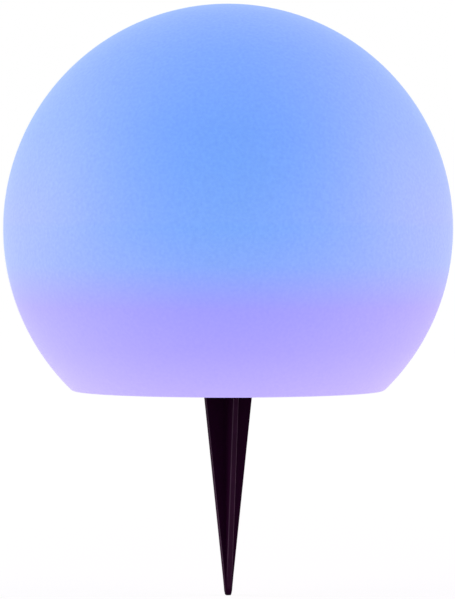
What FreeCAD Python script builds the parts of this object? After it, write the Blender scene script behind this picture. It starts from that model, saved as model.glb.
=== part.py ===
"""Garden globe light: a milky globe on a solar base unit, which stands on a ground spike.

Millimetres, +Z up. The origin is on the globe's axis at ground level, where the flat ring under
the globe meets the soil and the spike goes into it. The battery is on the -Y side of the base
unit, and the circuit board and the two push buttons are on its +Y side.
"""

import FreeCAD, Part

import math
import os
import re

import Sketcher

SIZES = {
    # globe
    "globe_diameter": (300.0, "outside of the ball"),
    "globe_wall": (2.5, "moulded polyethylene wall"),
    "flat_ring_width": (22.1, "from the recess to where the ball would meet the ground"),
    "base_corner_radius": (4.5, "outside corner between the ball and its flat ring"),
    "recess_edge_radius": (0.8, "edge of the recess in the flat ring"),
    "globe_gasket_thickness": (1.5, "flat seal between globe and base unit"),
    "gasket_margin": (1.0, "seal inside the flange's edge"),
    "gasket_inset": (0.5, "seal outside the clamp ring's inner edge"),
    "lip_width": (3.0, "globe's lip round its mouth, radial"),
    "lip_clearance": (0.3, "clamp ring to the lip's edge"),
    "clamp_ring_thickness": (3.0, "above the lip, the ring that takes the screws"),
    "clamp_ring_inset": (0.5, "clamp ring inside the recess wall's face"),
    "boss_height": (10.0, "screw bosses, above the globe's lip"),
    "boss_cap": (1.5, "closed end of a screw boss"),
    # base housing
    "underside_height": (3.0, "base unit's underside above the ground"),
    "cup_diameter": (132.0, "part of the base unit inside the globe"),
    "cup_wall": (2.5, "moulded wall of the cup"),
    "cup_height": (33.0, "cup's rim above the underside"),
    "cup_clearance": (3.0, "cup to the clamp ring, radial"),
    "flange_width": (15.0, "flange outside the cup, radial"),
    "flange_thickness": (4.5, "flange and floor, one plate"),
    "flange_clearance": (1.0, "flange to the globe's recess, radial"),
    "flange_screw_count": (6, "screws that hold the globe"),
    "socket_wall": (2.0, "round the spike's stub"),
    "socket_end_gap": (0.5, "above the spike's stub"),
    "gusset_thickness": (1.6, "four ribs round the socket"),
    "gusset_reach": (7.0, "outside the socket, radial"),
    "gusset_height": (10.0, "above the floor"),
    # spike
    "spike_depth": (137.0, "tip below the ground"),
    "spike_turn": (19.0, "ribs turned from the X axis, degrees"),
    "spike_width": (33.8, "across two ribs at the ground"),
    "spike_tip_width": (4.4, "across two ribs above the point"),
    "spike_point_height": (3.0, "the blunt point below the ribs"),
    "spike_point_width": (1.4, "across the blunt point"),
    "rib_thickness": (3.8, "each of the spike's ribs"),
    "rib_edge_radius": (0.5, "along the ribs"),
    "collar_diameter": (40.0, "round plate at the top of the spike"),
    "collar_thickness": (2.8, "round plate at the top of the spike"),
    "stub_diameter": (22.0, "part of the spike inside the socket"),
    "stub_length": (26.0, "part of the spike inside the socket"),
    "stub_chamfer": (2.0, "at the stub's top"),
    "stub_clearance": (0.08, "stub to socket, radial"),
    # battery, its bay and its door
    "battery_offset": (36.0, "battery's axis from the globe's axis"),
    "cell_diameter": (18.4, "round rechargeable cell"),
    "cell_length": (65.0, "with its button"),
    "cell_button_diameter": (6.0, "positive end"),
    "cell_button_height": (1.4, "positive end"),
    "bay_clearance": (1.0, "cell to the bay's sides"),
    "bay_headroom": (0.6, "cell to the bay's roof"),
    "cell_to_gasket": (0.2, "cell above the door's seal"),
    "bay_wall": (1.6, "bay's walls and roof"),
    "spring_space": (8.0, "between the cell and the negative end wall"),
    "plate_space": (1.0, "between the cell and the positive end wall"),
    "contact_thickness": (0.4, "nickel strip"),
    "contact_width": (12.0, "nickel strip"),
    "contact_height": (13.0, "nickel strip inside the bay"),
    "tab_width": (4.0, "contact's solder tab"),
    "tab_rise": (2.2, "contact's solder tab above the bay"),
    "spring_wire": (0.8, "contact spring's wire diameter"),
    "spring_diameter": (11.0, "contact spring, between wire centres"),
    "spring_turns": (4, "contact spring"),
    "door_length": (104.0, "recess for the battery door"),
    "door_width": (27.0, "recess for the battery door"),
    "door_corner_radius": (6.0, "recess for the battery door"),
    "door_thickness": (2.6, "battery door"),
    "door_clearance": (0.3, "door to its recess"),
    "door_gasket_thickness": (0.8, "door's seal"),
    "door_gasket_width": (1.6, "door's seal"),
    "door_gasket_step": (0.3, "door's seal outside the bay's edge"),
    "door_screw_inset": (6.0, "door screws from the ends of the door's recess"),
    "notch_radius": (5.0, "finger notch in the door's edge"),
    "notch_depth": (1.2, "finger notch in the door's edge"),
    # top cover, solar panel and lights
    "cover_gasket_thickness": (1.0, "seal on the cup's rim"),
    "cover_gasket_inset": (0.2, "seal inside the rim's edges"),
    "cover_thickness": (2.5, "plate of the top cover"),
    "spigot_clearance": (0.3, "cover's spigot to the cup"),
    "spigot_wall": (2.0, "cover's spigot"),
    "panel_side": (78.0, "square solar panel"),
    "panel_clearance": (0.2, "panel to its frame"),
    "panel_frame_wall": (2.8, "frame round the panel"),
    "panel_frame_height": (3.6, "frame above the cover"),
    "panel_frame_corner": (4.0, "frame's corner radius"),
    "backsheet_thickness": (1.0, "panel's board"),
    "silicon_thickness": (0.3, "panel's cells"),
    "glass_thickness": (2.0, "panel's window"),
    "silicon_margin": (3.0, "cells inside the panel's edge"),
    "silicon_gap": (0.8, "between cells"),
    "silicon_count": (8, "cells in the panel"),
    "light_count": (4, "colour-changing lights"),
    "light_circle_radius": (54.0, "lights from the axis"),
    "light_side": (5.0, "square light package"),
    "light_height": (1.6, "square light package"),
    "lens_radius": (5.4, "dome over each light"),
    "lens_flange_width": (1.6, "dome's flange under the cover"),
    "lens_rise": (4.0, "dome above the cover"),
    "lens_clearance": (0.1, "dome to its hole"),
    "lens_gap": (0.2, "light package to its dome"),
    "lens_edge_height": (0.6, "straight side of the dome above the cover"),
    "light_board_width": (18.8, "ring-shaped board, radial"),
    "light_board_drop": (4.0, "board's underside below the cup's rim"),
    "light_board_clearance": (0.7, "board to the cup"),
    # circuit board and what it carries
    "board_thickness": (1.6, "both circuit boards"),
    "board_radius": (54.5, "round edge of the main board"),
    "board_front": (15.0, "straight edge of the main board from the axis"),
    "board_post_height": (12.5, "main board above the floor"),
    "post_diameter": (6.0, "posts under the main board"),
    "side_post_x": (40.0, "posts at the board's sides"),
    "side_post_y": (22.0, "posts at the board's sides"),
    "middle_post_y": (49.0, "post at the board's round edge"),
    "chip_x": (8.0, "controller's middle"),
    "chip_y": (40.0, "controller's middle"),
    "inductor_x": (10.0, "coil core's middle"),
    "inductor_y": (27.0, "coil core's middle"),
    "capacitor_x": (35.0, "can's middle"),
    "capacitor_y": (34.0, "can's middle"),
    "resistor_x": (18.0, "first chip resistor, to the left"),
    "resistor_y": (31.0, "chip resistors"),
    "solar_lead_x": (28.0, "panel's leads, to the left"),
    "solar_lead_y": (31.0, "panel's leads"),
    "solar_lead_step": (7.0, "from the panel's leads back to their connector"),
    "battery_connector_x": (27.0, "connector's middle"),
    "battery_connector_y": (21.25, "connector's middle"),
    "light_connector_x": (12.0, "connector's middle, to the left"),
    "light_connector_y": (43.0, "connector's middle"),
    "light_lead_step": (2.0, "from the lights' connector out to their board"),
    "lead_end_length": (1.8, "straight end of each lead to the lights"),
    "solar_lead_end_length": (4.0, "straight end of each lead from the panel"),
    "switch_side": (8.5, "push switch body"),
    "switch_height": (8.0, "push switch body"),
    "plunger_side": (3.6, "push switch plunger"),
    "plunger_clearance": (0.1, "plunger to its switch"),
    "plunger_depth": (3.0, "plunger inside its switch"),
    "chip_length": (8.7, "controller's case"),
    "chip_width": (3.9, "controller's case"),
    "chip_height": (1.4, "controller's case"),
    "chip_rise": (0.2, "controller's case above the board"),
    "chip_leg_count": (7, "controller's legs on each side"),
    "chip_leg_pitch": (1.2, "controller's legs"),
    "chip_leg_width": (0.4, "controller's legs"),
    "chip_leg_reach": (1.1, "controller's legs outside its case"),
    "chip_leg_height": (0.6, "controller's legs"),
    "inductor_diameter": (9.0, "end plates of the coil core"),
    "inductor_core_diameter": (6.8, "wound core"),
    "inductor_plate": (1.0, "end plates of the coil core"),
    "inductor_height": (6.0, "coil core"),
    "capacitor_diameter": (8.0, "can"),
    "capacitor_height": (8.0, "can"),
    "capacitor_foot_height": (0.4, "can above the board"),
    "resistor_length": (2.0, "chip resistors"),
    "resistor_width": (1.25, "chip resistors"),
    "resistor_height": (0.6, "chip resistors"),
    "resistor_pitch": (4.0, "between chip resistors"),
    "resistor_count": (6, "chip resistors"),
    "connector_height": (4.5, "lead connectors"),
    "connector_depth": (4.5, "lead connectors"),
    "connector_pitch": (2.2, "lead connectors"),
    "lead_diameter": (1.3, "internal leads"),
    "lead_hole_diameter": (5.4, "hole in the cover for the panel's leads"),
    # push buttons
    "button_spacing": (32.0, "between the two buttons"),
    "button_offset": (36.0, "buttons from the globe's axis"),
    "button_diameter": (15.8, "button's cap"),
    "button_thickness": (1.4, "button's cap"),
    "button_inset": (0.3, "cap inside the housing's underside"),
    "button_clearance": (0.3, "cap to its pocket, radial"),
    "button_travel": (1.5, "push"),
    "button_end_gap": (0.1, "cap to its pocket at full travel"),
    "button_edge_radius": (0.5, "cap's edge"),
    "stem_diameter": (6.0, "button's stem"),
    "stem_end_gap": (0.2, "stem to the switch at full travel"),
    "stem_clearance": (0.1, "stem to its hole and seal, radial"),
    "seal_section": (1.8, "rubber ring round the stem"),
    "gland_wall": (1.05, "round the rubber ring"),
    "gland_clearance": (0.05, "ring and washer to the gland, radial"),
    "seal_end_gap": (0.1, "rubber ring to its washer"),
    "retainer_thickness": (0.6, "washer over the rubber ring"),
    # screws
    "screw_shank": (3.0, "flange screws"),
    "screw_head": (5.8, "flange screws"),
    "screw_head_height": (2.0, "flange screws"),
    "small_screw_shank": (2.6, "cover, board and door screws"),
    "small_screw_head": (5.2, "cover, board and door screws"),
    "small_screw_head_height": (1.4, "cover, board and door screws"),
    "small_screw_length": (9.0, "cover, board and door screws below the head"),
    "screw_end_gap": (1.0, "hole past the screw's end"),
    "screw_clearance": (0.06, "shank to its pilot hole, radial"),
    "hole_clearance": (0.3, "shank to a hole that it passes, radial"),
    "head_clearance": (0.3, "head to its counterbore, radial"),
    "head_inset": (0.2, "head inside the surface"),
    "column_wall": (2.2, "plastic round a screw"),
    "cross_width": (0.8, "cross recess in a screw's head"),
    "cross_depth": (0.9, "cross recess in a screw's head"),
}

# Places and sizes that follow from the driving dimensions.
DERIVED = {
    "globe_radius": "globe_diameter / 2",
    "inside_radius": "globe_radius - globe_wall",
    "base_circle_radius": "recess_radius + flat_ring_width",
    "globe_centre_height": "sqrt(globe_radius ^ 2 - base_circle_radius ^ 2)",
    "cup_radius": "cup_diameter / 2",
    "cup_inside": "cup_radius - cup_wall",
    "flange_radius": "cup_radius + flange_width",
    "recess_radius": "flange_radius + flange_clearance",
    "mouth_radius": "recess_radius - lip_width",
    "floor_top": "underside_height + flange_thickness",
    "shelf_underside": "floor_top + globe_gasket_thickness",
    "shelf_top": "shelf_underside + globe_wall",
    "clamp_inside": "cup_radius + cup_clearance",
    "clamp_spigot": "mouth_radius - lip_clearance",
    "clamp_outside": "recess_radius + globe_wall - clamp_ring_inset",
    "clamp_top": "shelf_top + clamp_ring_thickness",
    "flange_screw_circle": "(clamp_inside + clamp_spigot) / 2",
    "flange_screw_floor": "underside_height + head_inset + screw_head_height",
    "boss_radius": "screw_shank / 2 + column_wall",
    "flange_screw_end": "shelf_top + boss_height - boss_cap - screw_end_gap",
    "stub_radius": "stub_diameter / 2",
    "socket_radius": "stub_radius + stub_clearance",
    "socket_outside": "socket_radius + socket_wall",
    "socket_roof": "underside_height + stub_length + socket_end_gap",
    "socket_top": "socket_roof + socket_wall",
    "cup_top": "underside_height + cup_height",
    "cover_underside": "cup_top + cover_gasket_thickness",
    "cover_top": "cover_underside + cover_thickness",
    "light_board_underside": "cup_top - light_board_drop",
    "light_board_top": "light_board_underside + board_thickness",
    "light_board_outside": "cup_inside - light_board_clearance",
    "light_top": "light_board_top + light_height",
    "column_radius": "small_screw_shank / 2 + column_wall",
    "column_circle": "cup_inside - column_radius - 1",
    "panel_half": "panel_side / 2",
    "frame_half": "panel_half + panel_clearance + panel_frame_wall",
    "silicon_underside": "cover_top + backsheet_thickness",
    "glass_underside": "silicon_underside + silicon_thickness",
    "silicon_length": "panel_side - 2 * silicon_margin",
    "silicon_width": "(silicon_length - (silicon_count - 1) * silicon_gap) / silicon_count",
    "door_top": "underside_height + door_thickness",
    "door_screw_offset": "door_length / 2 - door_screw_inset",
    "door_screw_seat": "underside_height + small_screw_head_height + head_inset",
    "door_screw_top": "door_screw_seat + small_screw_length + screw_end_gap",
    "bay_ledge": "door_top + door_gasket_thickness",
    "cell_radius": "cell_diameter / 2",
    "cell_height": "bay_ledge + cell_to_gasket + cell_radius",
    "bay_roof": "cell_height + cell_radius + bay_headroom",
    "bay_top": "bay_roof + bay_wall",
    "bay_half_width": "cell_radius + bay_clearance",
    "bay_half_length": "(cell_length + spring_space + plate_space) / 2",
    "cell_end": "bay_half_length - plate_space",
    "cell_start": "cell_end - cell_length",
    "spring_start": "0 - bay_half_length + contact_thickness",
    "board_underside": "floor_top + board_post_height",
    "board_top": "board_underside + board_thickness",
    "connector_top": "board_top + connector_height",
    "lead_height": "bay_top + lead_diameter / 2 + 0.5",
    "side_lead_height": "board_top + connector_height / 2",
    "switch_underside": "board_underside - switch_height",
    "button_radius": "button_diameter / 2",
    "button_bottom": "underside_height + button_inset",
    "button_top": "button_bottom + button_thickness",
    "pocket_roof": "button_top + button_travel + button_end_gap",
    "stem_radius": "stem_diameter / 2",
    "stem_top": "switch_underside - button_travel - stem_end_gap",
    "seal_circle": "stem_radius + stem_clearance + seal_section / 2",
    "gland_radius": "stem_radius + stem_clearance + seal_section + gland_clearance",
    "retainer_height": "floor_top + seal_section + seal_end_gap",
    "gland_top": "retainer_height + retainer_thickness",
}

FUNCTIONS = ("cos", "sin", "min", "sqrt")
BUTTONS = (("power", "-1"), ("mode", "1"))  # each with its side of the Y axis

# Where things are on the circuit board, as X and Y.
BOARD_POSTS = (("side_post_x", "side_post_y"), ("-side_post_x", "side_post_y"),
               ("0", "middle_post_y"))
CHIP_PLACE = ("chip_x", "chip_y")
INDUCTOR_PLACE = ("inductor_x", "inductor_y")
CAPACITOR_PLACE = ("capacitor_x", "capacitor_y")
RESISTOR_PLACE = ("-resistor_x", "resistor_y")
SOLAR_LEADS = ("-solar_lead_x", "solar_lead_y")
BATTERY_CONNECTOR = ("battery_connector_x", "battery_connector_y")
LIGHT_CONNECTOR = ("-light_connector_x", "light_connector_y")
LIGHT_LEAD_COUNT = 4
BEND_SHARE = 0.45  # of the shorter run, taken up by each bend in a lead

doc = FreeCAD.newDocument("garden_globe_light")
sheet = doc.addObject("Spreadsheet::Sheet", "Sizes")
sub_parts = []


# ---------------------------------------------------------------- sizes and formulas


def fill_sheet():
    for row, (alias, (number, note)) in enumerate(SIZES.items(), start=1):
        sheet.set(f"A{row}", alias)
        sheet.set(f"B{row}", str(number))
        sheet.set(f"C{row}", note)
        sheet.setAlias(f"B{row}", alias)
    doc.recompute()


def formula(text):
    """The text with each size's name pointing at its cell, and each derived name written out."""

    def written_out(match):
        word = match.group()
        if word in FUNCTIONS:
            return word
        if word in DERIVED:
            return "(" + formula(DERIVED[word]) + ")"
        return "Sizes." + word

    return re.sub(r"[a-z][a-z_]+", written_out, str(text))


def value(text):
    return float(sheet.evalExpression(formula(text)))


def bind(item, **properties):
    for name, text in properties.items():
        item.setExpression(name, formula(text))


def at(item, x="0", y="0", z="0"):
    for letter, text in zip("xyz", (x, y, z)):
        if str(text) != "0":
            item.setExpression("Placement.Base." + letter, formula(text))
    return item


# ---------------------------------------------------------------- simple solids


def cylinder(name, radius, height, x="0", y="0", z="0"):
    item = doc.addObject("Part::Cylinder", name)
    bind(item, Radius=radius, Height=height)
    return at(item, x, y, z)


def lying_cylinder(name, radius, length, x, y, z):
    """A cylinder whose axis runs along +X from x."""
    item = doc.addObject("Part::Cylinder", name)
    item.Placement.Rotation = FreeCAD.Rotation(FreeCAD.Vector(0, 1, 0), 90)
    bind(item, Radius=radius, Height=length)
    return at(item, x, y, z)


def box(name, length, width, height, x, y, z):
    """A box centred on x and y that stands on z."""
    item = doc.addObject("Part::Box", name)
    bind(item, Length=length, Width=width, Height=height)
    return at(item, f"{x} - ({length}) / 2", f"{y} - ({width}) / 2", z)


def tube(name, outside, inside, height, z, x="0", y="0"):
    wall = cylinder(name + "_wall", outside, height, x, y, z)
    bore = cylinder(name + "_bore", inside, height, x, y, z)
    return cut(name, wall, bore)


def fused(name, *items):
    item = doc.addObject("Part::MultiFuse", name)
    item.Shapes = list(items)
    return item


def cut(name, base, *tools):
    item = doc.addObject("Part::Cut", name)
    item.Base = base
    item.Tool = tools[0] if len(tools) == 1 else fused(name + "_tools", *tools)
    return item


def common(name, first, second):
    item = doc.addObject("Part::Common", name)
    item.Base = first
    item.Tool = second
    return item


def rounded(name, base, radius, test):
    """The base with a fillet on each edge that the test picks."""
    doc.recompute()
    item = doc.addObject("Part::Fillet", name)
    item.Base = base
    picked = [n for n, e in enumerate(base.Shape.Edges, start=1) if test(e)]
    item.Edges = [(n, radius, radius) for n in picked]
    return item


def sub_part(name, item):
    """Files the item under its name in the list of what is exported."""
    item.Label = name
    sub_parts.append(item)
    return item


def group(name, items):
    """Separate solids that share one node."""
    item = doc.addObject("Part::Compound", name)
    item.Links = items
    return sub_part(name, item)


def is_circle(edge, radius, z):
    """Whether the edge is a level circle of that radius round the axis, at that height."""
    size = edge.BoundBox
    return abs(size.XMax - radius) < 1e-3 and max(abs(size.ZMin - z), abs(size.ZMax - z)) < 1e-3


# ---------------------------------------------------------------- bodies and sketches


def body(name):
    item = doc.addObject("PartDesign::Body", name)
    return sub_part(name, item)


def sketch(owner, name, plane="XY_Plane", height="0"):
    item = owner.newObject("Sketcher::SketchObject", name)
    origin = next(f for f in owner.Origin.OriginFeatures if f.Role == plane)
    item.AttachmentSupport = (origin, [""])
    item.MapMode = "FlatFace"
    if str(height) != "0":
        item.setExpression("AttachmentOffset.Base.z", formula(height))
    return item


def dimension(item, kind, *numbered, text):
    """A constraint whose size is the formula."""
    number = item.addConstraint(Sketcher.Constraint(kind, *numbered, value(text)))
    item.setExpression(f"Constraints[{number}]", formula(text))


def outline(item, points):
    """A closed outline of straight lines through points that are pairs of formulas."""
    first = item.GeometryCount
    count = len(points)
    corners = [FreeCAD.Vector(value(x), value(y), 0) for x, y in points]
    for n in range(count):
        line = Part.LineSegment(corners[n], corners[(n + 1) % count])
        item.addGeometry(line, False)
    for n in range(count):
        following = first + (n + 1) % count
        item.addConstraint(Sketcher.Constraint("Coincident", first + n, 2, following, 1))
    for n, (x, y) in enumerate(points):
        dimension(item, "DistanceX", first + n, 1, text=x)
        dimension(item, "DistanceY", first + n, 1, text=y)


def rectangle(item, half_length, half_width, x="0", y="0"):
    left, right = f"{x} - ({half_length})", f"{x} + ({half_length})"
    low, high = f"{y} - ({half_width})", f"{y} + ({half_width})"
    outline(item, ((left, low), (right, low), (right, high), (left, high)))


def rounded_rectangle(item, half_length, half_width, radius, x="0", y="0"):
    """A rectangle whose corners are tangent arcs."""
    left, right = f"{x} - ({half_length})", f"{x} + ({half_length})"
    low, high = f"{y} - ({half_width})", f"{y} + ({half_width})"
    x0, x1, y0, y1 = value(left), value(right), value(low), value(high)
    bend = value(radius)
    corners = ((x1 - bend, y0 + bend), (x1 - bend, y1 - bend),
               (x0 + bend, y1 - bend), (x0 + bend, y0 + bend))
    sides = (((x0 + bend, y0), (x1 - bend, y0)), ((x1, y0 + bend), (x1, y1 - bend)),
             ((x1 - bend, y1), (x0 + bend, y1)), ((x0, y1 - bend), (x0, y0 + bend)))
    lines, arcs = [], []
    for n, (start, end) in enumerate(sides):
        line = Part.LineSegment(FreeCAD.Vector(*start, 0), FreeCAD.Vector(*end, 0))
        lines.append(item.addGeometry(line, False))
        turn = Part.Circle(FreeCAD.Vector(*corners[n], 0), FreeCAD.Vector(0, 0, 1), bend)
        quarter = math.pi / 2
        arc = Part.ArcOfCircle(turn, (n - 1) * quarter, n * quarter)
        arcs.append(item.addGeometry(arc, False))
    for n in range(4):
        item.addConstraint(Sketcher.Constraint("Tangent", lines[n], 2, arcs[n], 1))
        item.addConstraint(Sketcher.Constraint("Tangent", arcs[n], 2, lines[(n + 1) % 4], 1))
        item.addConstraint(Sketcher.Constraint(("Horizontal", "Vertical")[n % 2], lines[n]))
    for arc in arcs[1:]:
        item.addConstraint(Sketcher.Constraint("Equal", arcs[0], arc))
    dimension(item, "Radius", arcs[0], text=radius)
    dimension(item, "DistanceY", lines[0], 1, text=low)
    dimension(item, "DistanceX", lines[1], 1, text=right)
    dimension(item, "DistanceY", lines[2], 1, text=high)
    dimension(item, "DistanceX", lines[3], 1, text=left)


def circle(item, radius, x="0", y="0"):
    centre = FreeCAD.Vector(value(x), value(y), 0)
    number = item.addGeometry(Part.Circle(centre, FreeCAD.Vector(0, 0, 1), value(radius)), False)
    dimension(item, "Radius", number, text=radius)
    dimension(item, "DistanceX", number, 3, text=x)
    dimension(item, "DistanceY", number, 3, text=y)


def pad(owner, profile, length, both_ways=False):
    item = owner.newObject("PartDesign::Pad", profile.Name + "_pad")
    item.Profile = profile
    bind(item, Length=length)
    if both_ways:
        item.SideType = "Symmetric"
    return item


def pocket(owner, profile, length):
    """Cuts upwards from the sketch."""
    item = owner.newObject("PartDesign::Pocket", profile.Name + "_pocket")
    item.Profile = profile
    item.Reversed = True
    bind(item, Length=length)
    return item


def revolved(owner, profile):
    item = owner.newObject("PartDesign::Revolution", profile.Name + "_revolution")
    item.Profile = profile
    item.ReferenceAxis = (profile, ["V_Axis"])
    item.Angle = 360
    return item


def turned(owner, feature, count):
    """The feature repeated round the vertical axis."""
    item = owner.newObject("PartDesign::PolarPattern", feature.Name + "_round")
    item.Originals = [feature]
    axis = next(f for f in owner.Origin.OriginFeatures if f.Role == "Z_Axis")
    item.Axis = (axis, [""])
    item.Angle = 360
    bind(item, Occurrences=count)
    owner.Tip = item
    return item


# ---------------------------------------------------------------- wires and leads


def tangent_arc(first, corner, last):
    """The arc that leaves first and reaches last along the two equal lines from the corner."""
    back, onward = (first - corner).normalize(), (last - corner).normalize()
    half_angle = back.getAngle(onward) / 2
    cut_back = (first - corner).Length
    radius = cut_back * math.tan(half_angle)
    to_middle = cut_back / math.cos(half_angle) - radius
    middle = corner + (back + onward).normalize() * to_middle
    return Part.Arc(first, middle, last).toShape()


def tube_along(name, path, radius, start, way):
    """A round solid along the path, whose volume has to be its section times its length."""
    end = Part.Wire(Part.makeCircle(radius, start, way))
    item = doc.addObject("Part::Feature", name)
    item.Shape = path.makePipeShell([end], True, False)
    expected = math.pi * radius**2 * path.Length
    if abs(item.Shape.Volume - expected) > 0.01 * expected:
        raise ValueError(f"{name}: volume {item.Shape.Volume:.2f}, expected {expected:.2f}")
    return item


# ---------------------------------------------------------------- places


def on_circle(radius, count, first_angle):
    """Places spaced evenly round the axis, as pairs of formulas."""
    angles = [first_angle + 360.0 * n / count for n in range(count)]
    return [(f"{radius} * cos({a})", f"{radius} * sin({a})") for a in angles]


def flange_screw_places():
    return on_circle("flange_screw_circle", int(value("flange_screw_count")), 30.0)


def column_places():
    return on_circle("column_circle", 4, 22.5)


def light_places():
    return on_circle("light_circle_radius", int(value("light_count")), 0.0)


def door_screw_places():
    return [("door_screw_offset", "-battery_offset"), ("-door_screw_offset", "-battery_offset")]


def button_place(side):
    return f"{side} * button_spacing / 2", "button_offset"


def tools_at(name, places, radius, height, z):
    """One upright cylinder at each place."""
    return [cylinder(f"{name}_{n}", radius, height, x, y, z) for n, (x, y) in enumerate(places)]


# ---------------------------------------------------------------- globe


def ball(name, radius, floor, corner):
    """A ball cut off flat at the floor, with its corner rounded."""
    whole = doc.addObject("Part::Sphere", name + "_ball")
    bind(whole, Radius=radius)
    at(whole, z="globe_centre_height")
    space = box(name + "_space", "globe_diameter", "globe_diameter",
                "globe_centre_height + globe_radius", "0", "0", floor)
    flat = common(name + "_flat", whole, space)
    return rounded(name, flat, corner, lambda e: abs(e.BoundBox.ZMax - value(floor)) < 1e-4)


def globe_shell():
    """The ball, its flat ring, the recess for the flange, and the lip round its mouth."""
    corner = value("base_corner_radius")
    outside = ball("globe_outside", "globe_radius", "0", corner)
    inner_corner = max(corner - value("globe_wall"), value("globe_wall") / 5)
    inside = ball("globe_inside", "inside_radius", "globe_wall", inner_corner)
    kept = cylinder("recess_walls", "recess_radius + globe_wall", "shelf_top")
    cavity = cut("globe_cavity", inside, kept)
    recess = cylinder("recess", "recess_radius", "shelf_underside")
    mouth = cylinder("mouth", "mouth_radius", "shelf_top")
    shell = cut("globe_square_edged", outside, cavity, recess, mouth)
    edge = value("recess_radius")
    smooth = rounded("globe_shell", shell, value("recess_edge_radius"),
                     lambda e: is_circle(e, edge, 0))
    sub_part("globe_shell", smooth)


def clamp_ring():
    """Stepped ring on the globe's lip, with a blind boss for each flange screw."""
    ring = body("clamp_ring")
    section = sketch(ring, "clamp_ring_section", "XZ_Plane")
    outline(section, (
        ("clamp_inside", "shelf_underside"),
        ("clamp_spigot", "shelf_underside"),
        ("clamp_spigot", "shelf_top"),
        ("clamp_outside", "shelf_top"),
        ("clamp_outside", "clamp_top"),
        ("clamp_inside", "clamp_top"),
    ))
    revolved(ring, section)
    x, y = flange_screw_places()[0]
    boss = sketch(ring, "clamp_boss", height="shelf_top")
    circle(boss, "boss_radius", x, y)
    turned(ring, pad(ring, boss, "boss_height"), "flange_screw_count")
    hole = sketch(ring, "clamp_hole", height="shelf_underside")
    circle(hole, "screw_shank / 2 + screw_clearance", x, y)
    depth = "flange_screw_end + screw_end_gap - shelf_underside"
    turned(ring, pocket(ring, hole, depth), "flange_screw_count")


def globe_gasket():
    seal = tube("globe_seal", "flange_radius - gasket_margin", "clamp_inside + gasket_inset",
                "globe_gasket_thickness", "floor_top")
    holes = tools_at("seal_hole", flange_screw_places(),
                     "screw_shank / 2 + hole_clearance", "globe_gasket_thickness", "floor_top")
    sub_part("globe_gasket", cut("globe_gasket", seal, *holes))


# ---------------------------------------------------------------- base housing


def housing_shell(housing):
    """Floor, flange, cup and spike socket as one turned section."""
    section = sketch(housing, "housing_section", "XZ_Plane")
    outline(section, (
        ("socket_radius", "underside_height"),
        ("flange_radius", "underside_height"),
        ("flange_radius", "floor_top"),
        ("cup_radius", "floor_top"),
        ("cup_radius", "cup_top"),
        ("cup_inside", "cup_top"),
        ("cup_inside", "floor_top"),
        ("socket_outside", "floor_top"),
        ("socket_outside", "socket_roof"),
        ("socket_radius", "socket_roof"),
    ))
    revolved(housing, section)
    roof = sketch(housing, "socket_roof_disc", height="socket_roof")
    circle(roof, "socket_outside")
    pad(housing, roof, "socket_wall")


def housing_bay(housing):
    """Walls and roof of the battery bay, its opening, and the recess for the door."""
    walls = sketch(housing, "bay_walls", height="floor_top")
    rectangle(walls, "bay_half_length + bay_wall", "bay_half_width + bay_wall",
              "0", "-battery_offset")
    pad(housing, walls, "bay_top - floor_top")
    inside = sketch(housing, "bay_inside", height="underside_height")
    rectangle(inside, "bay_half_length", "bay_half_width", "0", "-battery_offset")
    pocket(housing, inside, "bay_roof - underside_height")
    for side in ("-1", "1"):
        slot = sketch(housing, f"tab_slot_{'left' if side == '-1' else 'right'}",
                      height="bay_roof")
        rectangle(slot, "contact_thickness / 2", "tab_width / 2",
                  f"{side} * (bay_half_length - contact_thickness / 2)", "-battery_offset")
        pocket(housing, slot, "bay_wall")


def housing_posts(housing):
    """Columns for the cover's, the door's and the board's screws, with their pilot holes."""
    columns = [(x, y, "column_radius", "light_board_underside") for x, y in column_places()]
    bosses = [(x, y, "column_radius", "door_screw_top + bay_wall") for x, y in door_screw_places()]
    posts = [(x, y, "post_diameter / 2", "board_underside") for x, y in BOARD_POSTS]
    for n, (x, y, radius, top) in enumerate(columns + bosses + posts):
        post = sketch(housing, f"post_{n}", height="floor_top")
        circle(post, radius, x, y)
        pad(housing, post, f"{top} - floor_top")
    pilot = "small_screw_shank / 2 + screw_clearance"
    for n, (x, y, _, top) in enumerate(columns + posts):
        hole = sketch(housing, f"pilot_{n}", height=f"{top} - small_screw_length")
        circle(hole, pilot, x, y)
        pocket(housing, hole, "small_screw_length")


def housing_gussets(housing):
    rib = sketch(housing, "gusset_section", "XZ_Plane")
    outline(rib, (
        ("socket_outside - socket_wall / 2", "floor_top"),
        ("socket_outside + gusset_reach", "floor_top"),
        ("socket_outside - socket_wall / 2", "floor_top + gusset_height"),
    ))
    turned(housing, pad(housing, rib, "gusset_thickness", both_ways=True), "4")


def housing_buttons(housing):
    """Pocket, stem hole and gland for each button."""
    for name, side in BUTTONS:
        x, y = button_place(side)
        gland = sketch(housing, f"{name}_gland", height="floor_top")
        circle(gland, "gland_radius + gland_wall", x, y)
        circle(gland, "gland_radius", x, y)
        pad(housing, gland, "gland_top - floor_top")
        well = sketch(housing, f"{name}_well", height="underside_height")
        circle(well, "button_radius + button_clearance", x, y)
        pocket(housing, well, "pocket_roof - underside_height")
        hole = sketch(housing, f"{name}_stem_hole", height="pocket_roof")
        circle(hole, "stem_radius + stem_clearance", x, y)
        pocket(housing, hole, "floor_top - pocket_roof")


def housing_door_recess(housing):
    recess = sketch(housing, "door_recess", height="underside_height")
    rounded_rectangle(recess, "door_length / 2", "door_width / 2", "door_corner_radius",
                      "0", "-battery_offset")
    pocket(housing, recess, "bay_ledge - underside_height")
    for n, (x, y) in enumerate(door_screw_places()):
        hole = sketch(housing, f"door_pilot_{n}", height="bay_ledge")
        circle(hole, "small_screw_shank / 2 + screw_clearance", x, y)
        pocket(housing, hole, "door_screw_top - bay_ledge")


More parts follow.
